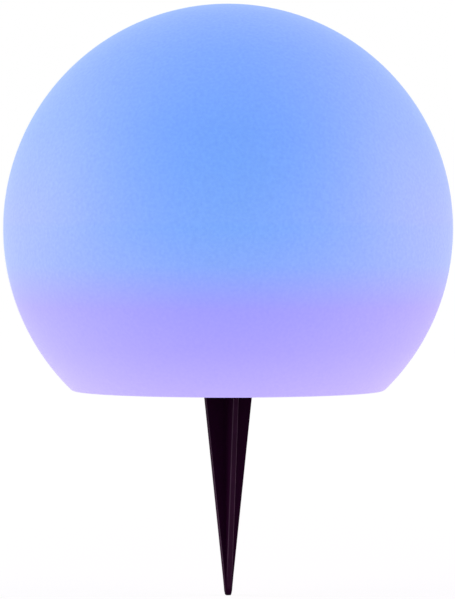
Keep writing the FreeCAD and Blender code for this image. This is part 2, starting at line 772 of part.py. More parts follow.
def housing_flange_holes(housing):
    """Counterbored holes for the screws that hold the globe."""
    x, y = flange_screw_places()[0]
    head = sketch(housing, "flange_counterbore", height="underside_height")
    circle(head, "screw_head / 2 + head_clearance", x, y)
    depth = "flange_screw_floor - underside_height"
    turned(housing, pocket(housing, head, depth), "flange_screw_count")
    hole = sketch(housing, "flange_hole", height="flange_screw_floor")
    circle(hole, "screw_shank / 2 + hole_clearance", x, y)
    turned(housing, pocket(housing, hole, "floor_top - flange_screw_floor"),
           "flange_screw_count")


def base_housing():
    housing = body("base_housing")
    housing_shell(housing)
    housing_gussets(housing)
    housing_bay(housing)
    housing_posts(housing)
    housing_buttons(housing)
    housing_flange_holes(housing)
    housing_door_recess(housing)


# ---------------------------------------------------------------- ground spike


def tapered_blade(name, low_width, high_width, low, high, angle):
    """A flat rib, as thick as the spike's ribs, that stands across the axis at that angle."""
    item = doc.addObject("Part::Wedge", name)
    upright = FreeCAD.Rotation(FreeCAD.Vector(1, 0, 0), 90)
    item.Placement.Rotation = FreeCAD.Rotation(FreeCAD.Vector(0, 0, 1), angle) * upright
    half = "rib_thickness / 2"
    bind(item, Xmin=f"0 - {low_width} / 2", Xmax=f"{low_width} / 2", Ymin=low,
         X2min=f"0 - {high_width} / 2", X2max=f"{high_width} / 2", Ymax=high,
         Zmin=f"0 - {half}", Zmax=half, Z2min=f"0 - {half}", Z2max=half)
    return item


def ground_spike():
    """One moulding: a cross of two tapered ribs, a collar, and the stub for the socket."""
    collar_underside = "(underside_height - collar_thickness)"
    ribs_end = "(spike_point_height - spike_depth)"
    stub_top = "(underside_height + stub_length)"
    pieces = []
    for angle in (0, 90):
        blade = tapered_blade(f"spike_blade_{angle}", "spike_tip_width", "spike_width",
                              ribs_end, collar_underside, angle)
        pieces.append(rounded(f"spike_rib_{angle}", blade, value("rib_edge_radius"),
                              lambda e: e.BoundBox.ZLength > value("spike_depth") / 2))
    point = doc.addObject("Part::Cone", "spike_point")
    bind(point, Radius1="spike_point_width / 2", Radius2="rib_thickness / 2",
         Height="spike_point_height")
    pieces.append(at(point, z="0 - spike_depth"))
    pieces.append(cylinder("spike_collar", "collar_diameter / 2", "collar_thickness",
                           z=collar_underside))
    cross = fused("stub_cross", *[tapered_blade(f"stub_blade_{angle}", "stub_diameter",
                                                "stub_diameter", "underside_height - 1",
                                                stub_top, angle) for angle in (0, 90)])
    straight = cylinder("stub_straight", "stub_radius", "stub_length - stub_chamfer + 1",
                        z="underside_height - 1")
    lead_in = doc.addObject("Part::Cone", "stub_lead_in")
    bind(lead_in, Radius1="stub_radius", Radius2="stub_radius - stub_chamfer",
         Height="stub_chamfer")
    at(lead_in, z=f"{stub_top} - stub_chamfer")
    pieces.append(common("spike_stub", cross, fused("stub_round", straight, lead_in)))
    spike = fused("ground_spike", *pieces)
    bind(spike, **{"Placement.Rotation.Angle": "spike_turn"})
    sub_part("ground_spike", spike)


# ---------------------------------------------------------------- battery and door


def battery_cell():
    can = lying_cylinder("cell_can", "cell_radius", "cell_length - cell_button_height",
                         "cell_start", "-battery_offset", "cell_height")
    soft = rounded("cell_rounded", can, 0.6, lambda e: hasattr(e.Curve, "Radius"))
    button = lying_cylinder("cell_button", "cell_button_diameter / 2", "cell_button_height",
                            "cell_end - cell_button_height", "-battery_offset", "cell_height")
    sub_part("battery_cell", fused("battery_cell", soft, button))


def contact_plate(name, middle):
    """A nickel strip against the end wall, with a solder tab through the bay's roof."""
    strip = box(name + "_strip", "contact_thickness", "contact_width", "contact_height",
                middle, "-battery_offset", "cell_height - contact_height / 2")
    tab = box(name + "_tab", "contact_thickness", "tab_width",
              "bay_top + tab_rise - cell_height", middle, "-battery_offset", "cell_height")
    return fused(name, strip, tab)


def battery_contacts():
    reach = "(bay_half_length - contact_thickness / 2)"
    sub_part("negative_contact", contact_plate("negative_contact", f"0 - {reach}"))
    plate = contact_plate("positive_plate", reach)
    dimple = lying_cylinder("positive_dimple", "cell_button_diameter / 3",
                            "plate_space - contact_thickness", "cell_end",
                            "-battery_offset", "cell_height")
    sub_part("positive_contact", fused("positive_contact", plate, dimple))


def contact_spring():
    """A coil between the negative contact and the cell. Two arcs make each quarter turn."""
    wire, radius = value("spring_wire"), value("spring_diameter") / 2
    turns = value("spring_turns")
    rise = value("spring_space - contact_thickness - spring_wire") / (2 * math.pi * turns)
    middle = FreeCAD.Vector(value("spring_start") + wire / 2, -value("battery_offset"),
                            value("cell_height"))
    places, ways = [], []
    for n in range(int(4 * turns) + 1):
        angle = n * math.pi / 2
        across, up = math.cos(angle), math.sin(angle)
        places.append(middle + FreeCAD.Vector(rise * angle, radius * across, radius * up))
        ways.append(FreeCAD.Vector(rise, -radius * up, radius * across).normalize())
    edges = []
    for start, end, way_out, way_in in zip(places, places[1:], ways, ways[1:]):
        step = end - start
        along, spread = step.dot(way_out + way_in), 2 * (1 - way_out.dot(way_in))
        reach = (math.sqrt(along**2 + spread * step.dot(step)) - along) / spread
        first, last = start + way_out * reach, end - way_in * reach
        joint = (first + last) / 2
        edges.append(tangent_arc(start, first, joint))
        edges.append(tangent_arc(joint, last, end))
    sub_part("contact_spring", tube_along("contact_spring", Part.Wire(edges), wire / 2,
                                          places[0], ways[0]))


def battery_door():
    door = body("battery_door")
    plate = sketch(door, "door_plate", height="underside_height")
    rounded_rectangle(plate, "door_length / 2 - door_clearance",
                      "door_width / 2 - door_clearance", "door_corner_radius - door_clearance",
                      "0", "-battery_offset")
    pad(door, plate, "door_thickness")
    for n, (x, y) in enumerate(door_screw_places()):
        head = sketch(door, f"door_counterbore_{n}", height="underside_height")
        circle(head, "small_screw_head / 2 + head_clearance", x, y)
        pocket(door, head, "small_screw_head_height + head_inset")
        hole = sketch(door, f"door_hole_{n}", height="underside_height")
        circle(hole, "small_screw_shank / 2 + hole_clearance", x, y)
        pocket(door, hole, "door_thickness")
    notch = sketch(door, "door_notch", height="underside_height")
    circle(notch, "notch_radius", "0", "door_width / 2 - battery_offset")
    pocket(door, notch, "notch_depth")


def door_gasket():
    seal = body("door_gasket")
    section = sketch(seal, "door_gasket_section", height="door_top")
    half_length = "(bay_half_length + door_gasket_step)"
    half_width = "(bay_half_width + door_gasket_step)"
    rectangle(section, half_length, half_width, "0", "-battery_offset")
    rectangle(section, f"{half_length} + door_gasket_width", f"{half_width} + door_gasket_width",
              "0", "-battery_offset")
    pad(seal, section, "door_gasket_thickness")


# ---------------------------------------------------------------- top cover and solar panel


def top_cover():
    cover = body("top_cover")
    plate = sketch(cover, "cover_plate", height="cover_underside")
    circle(plate, "cup_radius")
    pad(cover, plate, "cover_thickness")
    frame = sketch(cover, "panel_frame", height="cover_top")
    rounded_rectangle(frame, "frame_half", "frame_half", "panel_frame_corner")
    pad(cover, frame, "panel_frame_height")
    seat = sketch(cover, "panel_seat", height="cover_top")
    rectangle(seat, "panel_half + panel_clearance", "panel_half + panel_clearance")
    pocket(cover, seat, "panel_frame_height")
    spigot = sketch(cover, "cover_spigot", height="light_board_top")
    circle(spigot, "cup_inside - spigot_clearance")
    circle(spigot, "cup_inside - spigot_clearance - spigot_wall")
    pad(cover, spigot, "cover_underside - light_board_top")
    for n, (x, y) in enumerate(column_places()):
        pillar = sketch(cover, f"pillar_{n}", height="light_board_top")
        circle(pillar, "column_radius", x, y)
        pad(cover, pillar, "cover_underside - light_board_top")
        hole = sketch(cover, f"cover_hole_{n}", height="light_board_top")
        circle(hole, "small_screw_shank / 2 + hole_clearance", x, y)
        pocket(cover, hole, "cover_top - light_board_top")
        head = sketch(cover, f"cover_counterbore_{n}",
                      height="cover_top - small_screw_head_height - head_inset")
        circle(head, "small_screw_head / 2 + head_clearance", x, y)
        pocket(cover, head, "small_screw_head_height + head_inset")
    for n, (x, y) in enumerate(light_places()):
        window = sketch(cover, f"light_window_{n}", height="cover_underside")
        circle(window, "lens_radius + lens_clearance", x, y)
        pocket(cover, window, "cover_thickness")
    lead_hole = sketch(cover, "lead_hole", height="cover_underside")
    circle(lead_hole, "lead_hole_diameter / 2", *SOLAR_LEADS)
    pocket(cover, lead_hole, "cover_thickness")


def cover_gasket():
    outside, inside = "cup_radius - cover_gasket_inset", "cup_inside + cover_gasket_inset"
    sub_part("cover_gasket", tube("cover_gasket", outside, inside,
                                  "cover_gasket_thickness", "cup_top"))


def solar_panel():
    sub_part("solar_backsheet", box("solar_backsheet", "panel_side", "panel_side",
                                    "backsheet_thickness", "0", "0", "cover_top"))
    strips = []
    for n in range(int(value("silicon_count"))):
        x = f"{n} * (silicon_width + silicon_gap) + silicon_width / 2 - silicon_length / 2"
        strips.append(box(f"silicon_{n}", "silicon_width", "silicon_length",
                          "silicon_thickness", x, "0", "silicon_underside"))
    group("solar_cells", strips)
    sub_part("solar_window", box("solar_window", "panel_side", "panel_side",
                                 "glass_thickness", "0", "0", "glass_underside"))


# ---------------------------------------------------------------- lights


def light_board():
    ring = tube("light_ring", "light_board_outside", "light_board_outside - light_board_width",
                "board_thickness", "light_board_underside")
    holes = tools_at("light_board_hole", column_places(), "small_screw_shank / 2 + hole_clearance",
                     "board_thickness", "light_board_underside")
    sub_part("light_board", cut("light_board", ring, *holes))


def lights_and_lenses():
    packages, domes = [], []
    for n, (x, y) in enumerate(light_places()):
        packages.append(box(f"light_{n}", "light_side", "light_side", "light_height",
                            x, y, "light_board_top"))
        flange = cylinder(f"lens_flange_{n}", "lens_radius + lens_flange_width",
                          "cover_underside - light_top - lens_gap", x, y,
                          "light_top + lens_gap")
        stem = cylinder(f"lens_stem_{n}", "lens_radius", "cover_thickness + lens_rise",
                        x, y, "cover_underside")
        bend = value("min(lens_radius; lens_rise) - lens_edge_height")
        soft = rounded(f"lens_dome_{n}", stem, bend, lambda e: hasattr(e.Curve, "Radius")
                       and e.CenterOfMass.z > value("cover_top"))
        domes.append(fused(f"lens_{n}", flange, soft))
    group("colour_lights", packages)
    group("light_lenses", domes)


# ---------------------------------------------------------------- circuit board


def main_board():
    disc = cylinder("main_disc", "board_radius", "board_thickness", z="board_underside")
    half = doc.addObject("Part::Box", "main_half")
    bind(half, Length="2 * board_radius", Width="board_radius - board_front",
         Height="board_thickness")
    at(half, "-board_radius", "board_front", "board_underside")
    board = common("main_blank", disc, half)
    holes = tools_at("main_hole", BOARD_POSTS, "small_screw_shank / 2 + hole_clearance",
                     "board_thickness", "board_underside")
    sub_part("main_board", cut("main_board", board, *holes))


def push_switches():
    for name, side in BUTTONS:
        x, y = button_place(side)
        case = box(f"{name}_case", "switch_side", "switch_side", "switch_height",
                   x, y, "switch_underside")
        bore_side = "plunger_side + 2 * plunger_clearance"
        bore = box(f"{name}_bore", bore_side, bore_side, "plunger_depth + button_travel + 0.3",
                   x, y, "switch_underside")
        sub_part(f"{name}_switch", cut(f"{name}_switch", case, bore))
        sub_part(f"{name}_plunger", box(f"{name}_plunger", "plunger_side", "plunger_side",
                                        "switch_underside + plunger_depth - stem_top",
                                        x, y, "stem_top"))


def controller_chip():
    """A flat package with a row of legs on each long side."""
    x, y = CHIP_PLACE
    pieces = [box("chip_case", "chip_length", "chip_width", "chip_height",
                  x, y, "board_top + chip_rise")]
    leg_length = "(chip_leg_reach + chip_leg_width)"
    count = int(value("chip_leg_count"))
    for n in range(count):
        along = f"{x} + {n - (count - 1) / 2} * chip_leg_pitch"
        for side in ("-1", "1"):
            across = f"{y} + {side} * (chip_width + chip_leg_reach - chip_leg_width) / 2"
            pieces.append(box(f"chip_leg_{len(pieces)}", "chip_leg_width", leg_length,
                              "chip_leg_height", along, across, "board_top"))
    sub_part("controller_chip", fused("controller_chip", *pieces))


def inductor():
    x, y = INDUCTOR_PLACE
    plate = cylinder("inductor_lower_plate", "inductor_diameter / 2", "inductor_plate",
                     x, y, "board_top")
    core = cylinder("inductor_core", "inductor_core_diameter / 2", "inductor_height",
                    x, y, "board_top")
    upper = cylinder("inductor_upper_plate", "inductor_diameter / 2", "inductor_plate",
                     x, y, "board_top + inductor_height - inductor_plate")
    sub_part("inductor", fused("inductor", plate, core, upper))


def capacitor():
    x, y = CAPACITOR_PLACE
    can = cylinder("capacitor_can", "capacitor_diameter / 2", "capacitor_height",
                   x, y, "board_top + capacitor_foot_height")
    foot = cylinder("capacitor_foot", "capacitor_diameter * 0.4", "capacitor_foot_height",
                    x, y, "board_top")
    sub_part("capacitor", fused("capacitor", can, foot))


def chip_resistors():
    x, y = RESISTOR_PLACE
    group("chip_resistors", [
        box(f"resistor_{n}", "resistor_length", "resistor_width", "resistor_height",
            f"{x} + {n} * resistor_pitch", y, "board_top")
        for n in range(int(value("resistor_count")))])


def connector(name, ways, x, y):
    return box(name, f"{ways} * connector_pitch + 1", "connector_depth", "connector_height",
               x, y, "board_top")


def lead_connectors():
    group("lead_connectors", [
        connector("solar_connector", 2, SOLAR_LEADS[0], "solar_lead_y - solar_lead_step"),
        connector("battery_connector", 2, *BATTERY_CONNECTOR),
        connector("light_connector", LIGHT_LEAD_COUNT, *LIGHT_CONNECTOR),
    ])


# ---------------------------------------------------------------- leads inside the unit


def bent_path(points):
    """Straight runs joined by tangent arcs, each as large as its two runs allow."""
    edges, start = [], points[0]
    for before, corner, after in zip(points, points[1:], points[2:]):
        back = (before - corner).normalize()
        onward = (after - corner).normalize()
        cut_back = BEND_SHARE * min((before - corner).Length, (after - corner).Length)
        first, last = corner + back * cut_back, corner + onward * cut_back
        edges.append(Part.LineSegment(start, first).toShape())
        edges.append(tangent_arc(first, corner, last))
        start = last
    edges.append(Part.LineSegment(start, points[-1]).toShape())
    return Part.Wire(edges)


def lead(name, route):
    """One insulated lead along its route, a list of places as formulas."""
    points = [FreeCAD.Vector(*(value(text) for text in place)) for place in route]
    return tube_along(name, bent_path(points), value("lead_diameter") / 2,
                      points[0], points[1] - points[0])


def solar_leads():
    middle, y = SOLAR_LEADS
    for name, side in (("solar_lead_positive", "-0.5"), ("solar_lead_negative", "0.5")):
        x = f"{middle} + {side} * connector_pitch"
        sub_part(name, lead(name, (
            (x, y, "cover_top"),
            (x, y, "cover_underside - solar_lead_end_length"),
            (x, f"{y} - solar_lead_step", "connector_top + solar_lead_end_length"),
            (x, f"{y} - solar_lead_step", "connector_top"),
        )))


def battery_leads():
    """From each contact's tab over the bay's roof, down and under the lights' board."""
    inner_face = "(bay_half_length - contact_thickness)"
    x, y = BATTERY_CONNECTOR
    right = f"{x} + 0.5 * connector_pitch"
    left = f"{x} - 0.5 * connector_pitch"
    mouth = f"{y} - connector_depth / 2"
    sub_part("battery_lead_positive", lead("battery_lead_positive", (
        (inner_face, "-battery_offset", "lead_height"),
        (f"{right} + 1", "-battery_offset", "lead_height"),
        (right, "-bay_half_width - 8", "lead_height"),
        (right, "0", "side_lead_height"),
        (right, mouth, "side_lead_height"),
    )))
    sub_part("battery_lead_negative", lead("battery_lead_negative", (
        (f"0 - {inner_face}", "-battery_offset", "lead_height"),
        ("-12", "-battery_offset", "lead_height"),
        ("14", "-battery_offset + 5", "lead_height"),
        (f"{left} - 1", "-bay_half_width - 7", "lead_height"),
        (left, "0", "side_lead_height"),
        (left, mouth, "side_lead_height"),
    )))


def light_leads():
    middle, y = LIGHT_CONNECTOR
    ways = []
    for n in range(LIGHT_LEAD_COUNT):
        x = f"{middle} + {n - (LIGHT_LEAD_COUNT - 1) / 2} * connector_pitch"
        ways.append(lead(f"light_lead_{n}", (
            (x, f"{y} + light_lead_step", "light_board_underside"),
            (x, f"{y} + light_lead_step", "light_board_underside - lead_end_length"),
            (x, y, "connector_top + lead_end_length"),
            (x, y, "connector_top"),
        )))
    group("light_leads", ways)


# ---------------------------------------------------------------- push buttons


def push_buttons():
    for name, side in BUTTONS:
        x, y = button_place(side)
        cap = cylinder(f"{name}_cap", "button_radius", "button_thickness", x, y, "button_bottom")
        soft = rounded(f"{name}_cap_soft", cap, value("button_edge_radius"),
                       lambda e: hasattr(e.Curve, "Radius")
                       and e.CenterOfMass.z < value("button_bottom") + 1e-4)
        stem = cylinder(f"{name}_stem", "stem_radius", "stem_top - button_top",
                        x, y, "button_top")
        sub_part(f"{name}_button", fused(f"{name}_button", soft, stem))


def button_seals():
    rings, washers = [], []
    for name, side in BUTTONS:
        x, y = button_place(side)
        ring = doc.addObject("Part::Torus", f"{name}_seal")
        bind(ring, Radius1="seal_circle", Radius2="seal_section / 2")
        rings.append(at(ring, x, y, "floor_top + seal_section / 2"))
        washers.append(tube(f"{name}_washer", "gland_radius - gland_clearance",
                            "stem_radius + stem_clearance + gland_clearance",
                            "retainer_thickness", "retainer_height", x, y))
    group("button_seals", rings)
    group("seal_retainers", washers)


# ---------------------------------------------------------------- screws


def screw(name, x, y, seat, way, shank, head, head_height, length):
    """A cross-recessed screw. Its head sits on the seat, and way is 1 if it points up."""
    up = way > 0
    head_low = f"{seat} - {head_height}" if up else seat
    shank_low = seat if up else f"{seat} - ({length})"
    top = cylinder(f"{name}_head", f"{head} / 2", head_height, x, y, head_low)
    outer_face = value(head_low) if up else value(f"{seat} + {head_height}")
    soft = rounded(f"{name}_head_soft", top, value(f"{head_height} / 4"),
                   lambda e: hasattr(e.Curve, "Radius")
                   and abs(e.CenterOfMass.z - outer_face) < 1e-4)
    cross_low = head_low if up else f"{seat} + {head_height} - cross_depth"
    slots = [box(f"{name}_slot_{n}", length_, width_, "cross_depth", x, y, cross_low)
             for n, (length_, width_) in enumerate(((f"{head} * 0.6", "cross_width"),
                                                    ("cross_width", f"{head} * 0.6")))]
    shaft = cylinder(f"{name}_shank", f"{shank} / 2", length, x, y, shank_low)
    return cut(name, fused(f"{name}_blank", soft, shaft), *slots)


def small_screw(name, x, y, seat, way, length):
    return screw(name, x, y, seat, way, "small_screw_shank", "small_screw_head",
                 "small_screw_head_height", length)


def all_screws():
    flange_length = "(flange_screw_end - flange_screw_floor)"
    group("flange_screws", [
        screw(f"flange_screw_{n}", x, y, "flange_screw_floor", 1, "screw_shank",
              "screw_head", "screw_head_height", flange_length)
        for n, (x, y) in enumerate(flange_screw_places())])
    cover_seat = "(cover_top - small_screw_head_height - head_inset)"
    reach = "small_screw_length - screw_end_gap"
    cover_length = f"({cover_seat} - light_board_underside + {reach})"
    group("cover_screws", [
        small_screw(f"cover_screw_{n}", x, y, cover_seat, -1, cover_length)
        for n, (x, y) in enumerate(column_places())])
    group("board_screws", [
        small_screw(f"board_screw_{n}", x, y, "board_top", -1, f"board_thickness + {reach}")
        for n, (x, y) in enumerate(BOARD_POSTS)])
    group("door_screws", [
        small_screw(f"door_screw_{n}", x, y, "door_screw_seat", 1, "small_screw_length")
        for n, (x, y) in enumerate(door_screw_places())])


# ---------------------------------------------------------------- building and writing


def check_document():
    for item in doc.Objects:
        if "Invalid" in item.State or "Error" in item.State:
            raise RuntimeError(f"{item.Label} failed: {item.State}")
    for item in sub_parts:
        if item.Shape.isNull() or not item.Shape.isValid() or not item.Shape.Solids:
            raise RuntimeError(f"{item.Label} has no valid solid")


def write_parts():
    os.makedirs("parts", exist_ok=True)
    for item in sub_parts:
        item.Shape.exportStep(f"parts/{item.Label}.step")
        size = item.Shape.BoundBox
        print(f"{item.Label:24s} solids {len(item.Shape.Solids):2d}  volume "
              f"{item.Shape.Volume / 1000:9.3f} cm3  z {size.ZMin:7.2f} to {size.ZMax:7.2f}")


def build():
    fill_sheet()
    globe_shell()
    clamp_ring()
    globe_gasket()
    ground_spike()
    base_housing()
    battery_cell()
    battery_contacts()
    contact_spring()
    battery_door()
    door_gasket()
    top_cover()
    cover_gasket()
    solar_panel()
    light_board()
    lights_and_lenses()
    main_board()
    push_switches()
    controller_chip()
    inductor()
    capacitor()
    chip_resistors()
    lead_connectors()
    solar_leads()
    battery_leads()
    light_leads()
    push_buttons()
    button_seals()
    all_screws()
    doc.recompute()
    check_document()
    write_parts()


build()
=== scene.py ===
import math

import bmesh
import bpy
import numpy as np
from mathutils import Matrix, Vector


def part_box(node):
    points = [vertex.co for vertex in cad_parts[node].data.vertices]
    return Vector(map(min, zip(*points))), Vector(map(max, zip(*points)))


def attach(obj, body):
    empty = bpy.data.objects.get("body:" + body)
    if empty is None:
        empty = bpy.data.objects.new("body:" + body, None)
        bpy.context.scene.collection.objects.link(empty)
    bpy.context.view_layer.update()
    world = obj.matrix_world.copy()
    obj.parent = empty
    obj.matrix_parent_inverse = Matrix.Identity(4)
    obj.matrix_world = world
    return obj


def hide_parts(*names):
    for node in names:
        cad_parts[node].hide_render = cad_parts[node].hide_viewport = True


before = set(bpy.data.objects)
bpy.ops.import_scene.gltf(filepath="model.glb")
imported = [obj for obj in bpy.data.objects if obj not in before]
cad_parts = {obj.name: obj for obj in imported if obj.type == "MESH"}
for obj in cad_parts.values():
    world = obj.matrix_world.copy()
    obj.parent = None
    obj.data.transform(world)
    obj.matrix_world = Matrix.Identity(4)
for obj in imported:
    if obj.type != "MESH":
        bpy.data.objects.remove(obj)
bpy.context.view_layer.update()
print("stage: frame loaded,", len(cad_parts), "nodes")

mm = 0.001
roughnessDrift = 0.15    # from patch to patch, as a share of a surface's own roughness
mergeWithin = 0.001 * mm    # points closer than this are one point


def linear(hexColour):
    # sRGB hex to linear light, with full alpha
    parts = [int(hexColour[n:n + 2], 16) / 255 for n in (1, 3, 5)]
    return [c / 12.92 if c <= 0.04045 else ((c + 0.055) / 1.055) ** 2.4 for c in parts] + [1.0]


# ---- shader trees

def feed(tree, node, inputs):
    # a node or a socket is linked to the input; a hex colour, number or vector is set on it
    for name, value in inputs.items():
        if isinstance(value, str):
            value = linear(value)
        if isinstance(value, bpy.types.Node):
            value = next(socket for socket in value.outputs if socket.enabled)
        if isinstance(value, bpy.types.NodeSocket):
            tree.links.new(value, node.inputs[name])
        else:
            node.inputs[name].default_value = value


def addNode(tree, kind, inputs=None, **settings):
    node = tree.nodes.new("ShaderNode" + kind)
    for name, value in settings.items():
        setattr(node, name, value)
    feed(tree, node, inputs or {})
    return node


def newMaterial(name, inputs=None):
    # the material's tree, its Principled shader and the place on the object
    material = bpy.data.materials.new(name)
    material.use_nodes = True
    tree = material.node_tree
    shader = tree.nodes["Principled BSDF"]
    feed(tree, shader, inputs or {})
    return material, tree, shader, addNode(tree, "TexCoord").outputs["Object"]


def grainedSurface(tree, shader, place, look):
    # an even relief of the mould or the sheet: one grain is about grainMm across
    grain = addNode(tree, "TexNoise", {"Vector": place, "Scale": 1 / (look["grainMm"] * mm),
                                       "Detail": 2.0})
    feed(tree, shader, {"Normal": addNode(tree, "Bump", {
        "Height": grain, "Distance": look["depthMm"] * mm, "Strength": 1.0})})


def patchySurface(tree, shader, place, look, colour=None):
    # Colour and roughness drift in slow patches, each about patchMm across. A piece with
    # several colours gives a node for them.
    patches = addNode(tree, "TexNoise", {"Vector": place, "Scale": 1 / (look["patchMm"] * mm),
                                         "Detail": 3.0})
    value = addNode(tree, "MapRange", {"Value": patches, "To Min": 1 - look["shade"],
                                       "To Max": 1 + look["shade"]})
    drift = addNode(tree, "HueSaturation", {
        "Color": look["colour"] if colour is None else colour, "Value": value})
    rough = addNode(tree, "MapRange", {"Value": patches,
                                       "To Min": look["gloss"] * (1 - roughnessDrift),
                                       "To Max": look["gloss"] * (1 + roughnessDrift)})
    feed(tree, shader, {"Base Color": drift, "Roughness": rough})


# ---- meshes

def meshPiece(name, points, faces, body, material, sharpDegrees):
    mesh = bpy.data.meshes.new(name)
    mesh.from_pydata(points.tolist(), [], faces)
    finishMesh(mesh, material, sharpDegrees)
    piece = bpy.data.objects.new(name, mesh)
    bpy.context.scene.collection.objects.link(piece)
    piece.modifiers.new("flatFacesStayFlat", "WEIGHTED_NORMAL").keep_sharp = True
    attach(piece, body)
    return piece


def finishMesh(mesh, material, sharpDegrees):
    work = bmesh.new()
    work.from_mesh(mesh)
    bmesh.ops.remove_doubles(work, verts=work.verts, dist=mergeWithin)
    bmesh.ops.recalc_face_normals(work, faces=work.faces)
    work.to_mesh(mesh)
    work.free()
    mesh.polygons.foreach_set("use_smooth", np.ones(len(mesh.polygons), dtype=bool))
    mesh.set_sharp_from_angle(angle=math.radians(sharpDegrees))
    mesh.materials.clear()
    mesh.materials.append(material)


def gridFaces(rows, columns):
    # quads of a grid whose columns close into rings
    row, column = np.meshgrid(np.arange(rows - 1), np.arange(columns), indexing="ij")
    after = (column + 1) % columns
    corners = (row * columns + column, row * columns + after,
               (row + 1) * columns + after, (row + 1) * columns + column)
    return np.stack([c.ravel() for c in corners], axis=1).tolist()


def cappedFaces(rows, columns):
    # the same with a face over the first ring and the last
    return gridFaces(rows, columns) + [list(range(columns)),
                                       list(range((rows - 1) * columns, rows * columns))]


def turnedSurface(outline, segments):
    # each outline point (r, z) goes round the axis: x = r cos a, y = r sin a
    angle = np.linspace(0, 2 * np.pi, segments, endpoint=False)
    r, z = outline[:, 0][:, None], outline[:, 1][:, None]
    points = np.stack([r * np.cos(angle), r * np.sin(angle), z + 0 * angle], axis=2)
    return points.reshape(-1, 3), gridFaces(len(outline), segments)


def arcPoints(centre, radius, start, end, count):
    # an arc in the (r, z) plane, angles in degrees from +r towards +z
    angle = np.radians(np.linspace(start, end, count))
    return np.stack([centre[0] + radius * np.cos(angle), centre[1] + radius * np.sin(angle)],
                    axis=1)


def roundedCorner(before, corner, after, radius, count=5):
    # the arc of that radius that joins the lines before-corner and corner-after
    before, corner, after = (np.array(p, dtype=float) for p in (before, corner, after))
    back, onward = before - corner, after - corner
    back, onward = back / np.linalg.norm(back), onward / np.linalg.norm(onward)
    half = np.arccos(np.clip(back @ onward, -1, 1)) / 2
    middle = (back + onward) / np.linalg.norm(back + onward)
    centre = corner + middle * radius / np.sin(half)
    first = corner + back * radius / np.tan(half) - centre
    last = corner + onward * radius / np.tan(half) - centre
    share = np.linspace(0, 1, count)[:, None]
    way = first * (1 - share) + last * share
    return centre + radius * way / np.linalg.norm(way, axis=1)[:, None]


def roundedLine(corners, radii):
    # a line through the corners, each rounded by its radius; the ends stay
    parts = [np.array([corners[0]], dtype=float)]
    for n in range(1, len(corners) - 1):
        parts.append(roundedCorner(corners[n - 1], corners[n], corners[n + 1], radii[n - 1]))
    parts.append(np.array([corners[-1]], dtype=float))
    return np.concatenate(parts)


# ---- camera

view = {
    # metres in front of the globe's axis and beside it, and heights above its flat base
    "distance": 2.5, "side": -0.4 * mm, "height": 0.1122, "aimHeight": 0.06085,
    "lens": 224.9, "farClip": 40,
}


def makeCamera():
    data = bpy.data.cameras.new("camera")
    data.lens = view["lens"]
    data.clip_end = view["farClip"]
    camera = bpy.data.objects.new("camera", data)
    bpy.context.scene.collection.objects.link(camera)
    camera.location = (view["side"], -view["distance"], view["height"])
    tilt = math.atan2(view["height"] - view["aimHeight"], view["distance"])
    camera.rotation_euler = (math.pi / 2 - tilt, 0, 0)
    bpy.context.scene.camera = camera


# ---- globe

globe = {
    "radius": 150 * mm, "centre": 108 * mm, "wall": 2.5 * mm, "cornerRadius": 4.5 * mm,
    "recessRadius": 82 * mm, "recessDepth": 9 * mm, "mouthRadius": 79 * mm,
    "edgeRadius": 0.8 * mm, "smallEdge": 0.4 * mm,
    "segments": 240, "arcPoints": 130, "cornerPoints": 13, "sharpDegrees": 35,
    # the light's colour from the flat base to the top, as shares of the whole height
    "glowStops": ((0.0, "#bcb0ff"), (0.12, "#a9a2fe"), (0.22, "#9f9efe"), (0.33, "#86acfd"),
                  (0.44, "#78abfd"), (0.66, "#73a6fd"), (0.86, "#79a8fd"), (1.0, "#85adfa")),
    # the milky wall's colour, which daylight shows, painted with the inner light's blue-violet,
    # and how much daylight its front gets
    "wallStops": ((0.0, "#8b90b3"), (0.12, "#8e8eb3"), (0.24, "#897eaa"), (0.44, "#9c79aa"),
                  (0.7, "#8c7eaa"), (1.0, "#897caa")),
    "frontLight": 0.6,
    # the powder's grain is clearest where the light shines through, and faint near the base
    "powderMm": 2.2, "powderShare": 0.16, "powderHeights": (0.1, 0.4), "powderLow": 0.4,
    "grainMm": 4.4, "depthMm": 0.03,
}


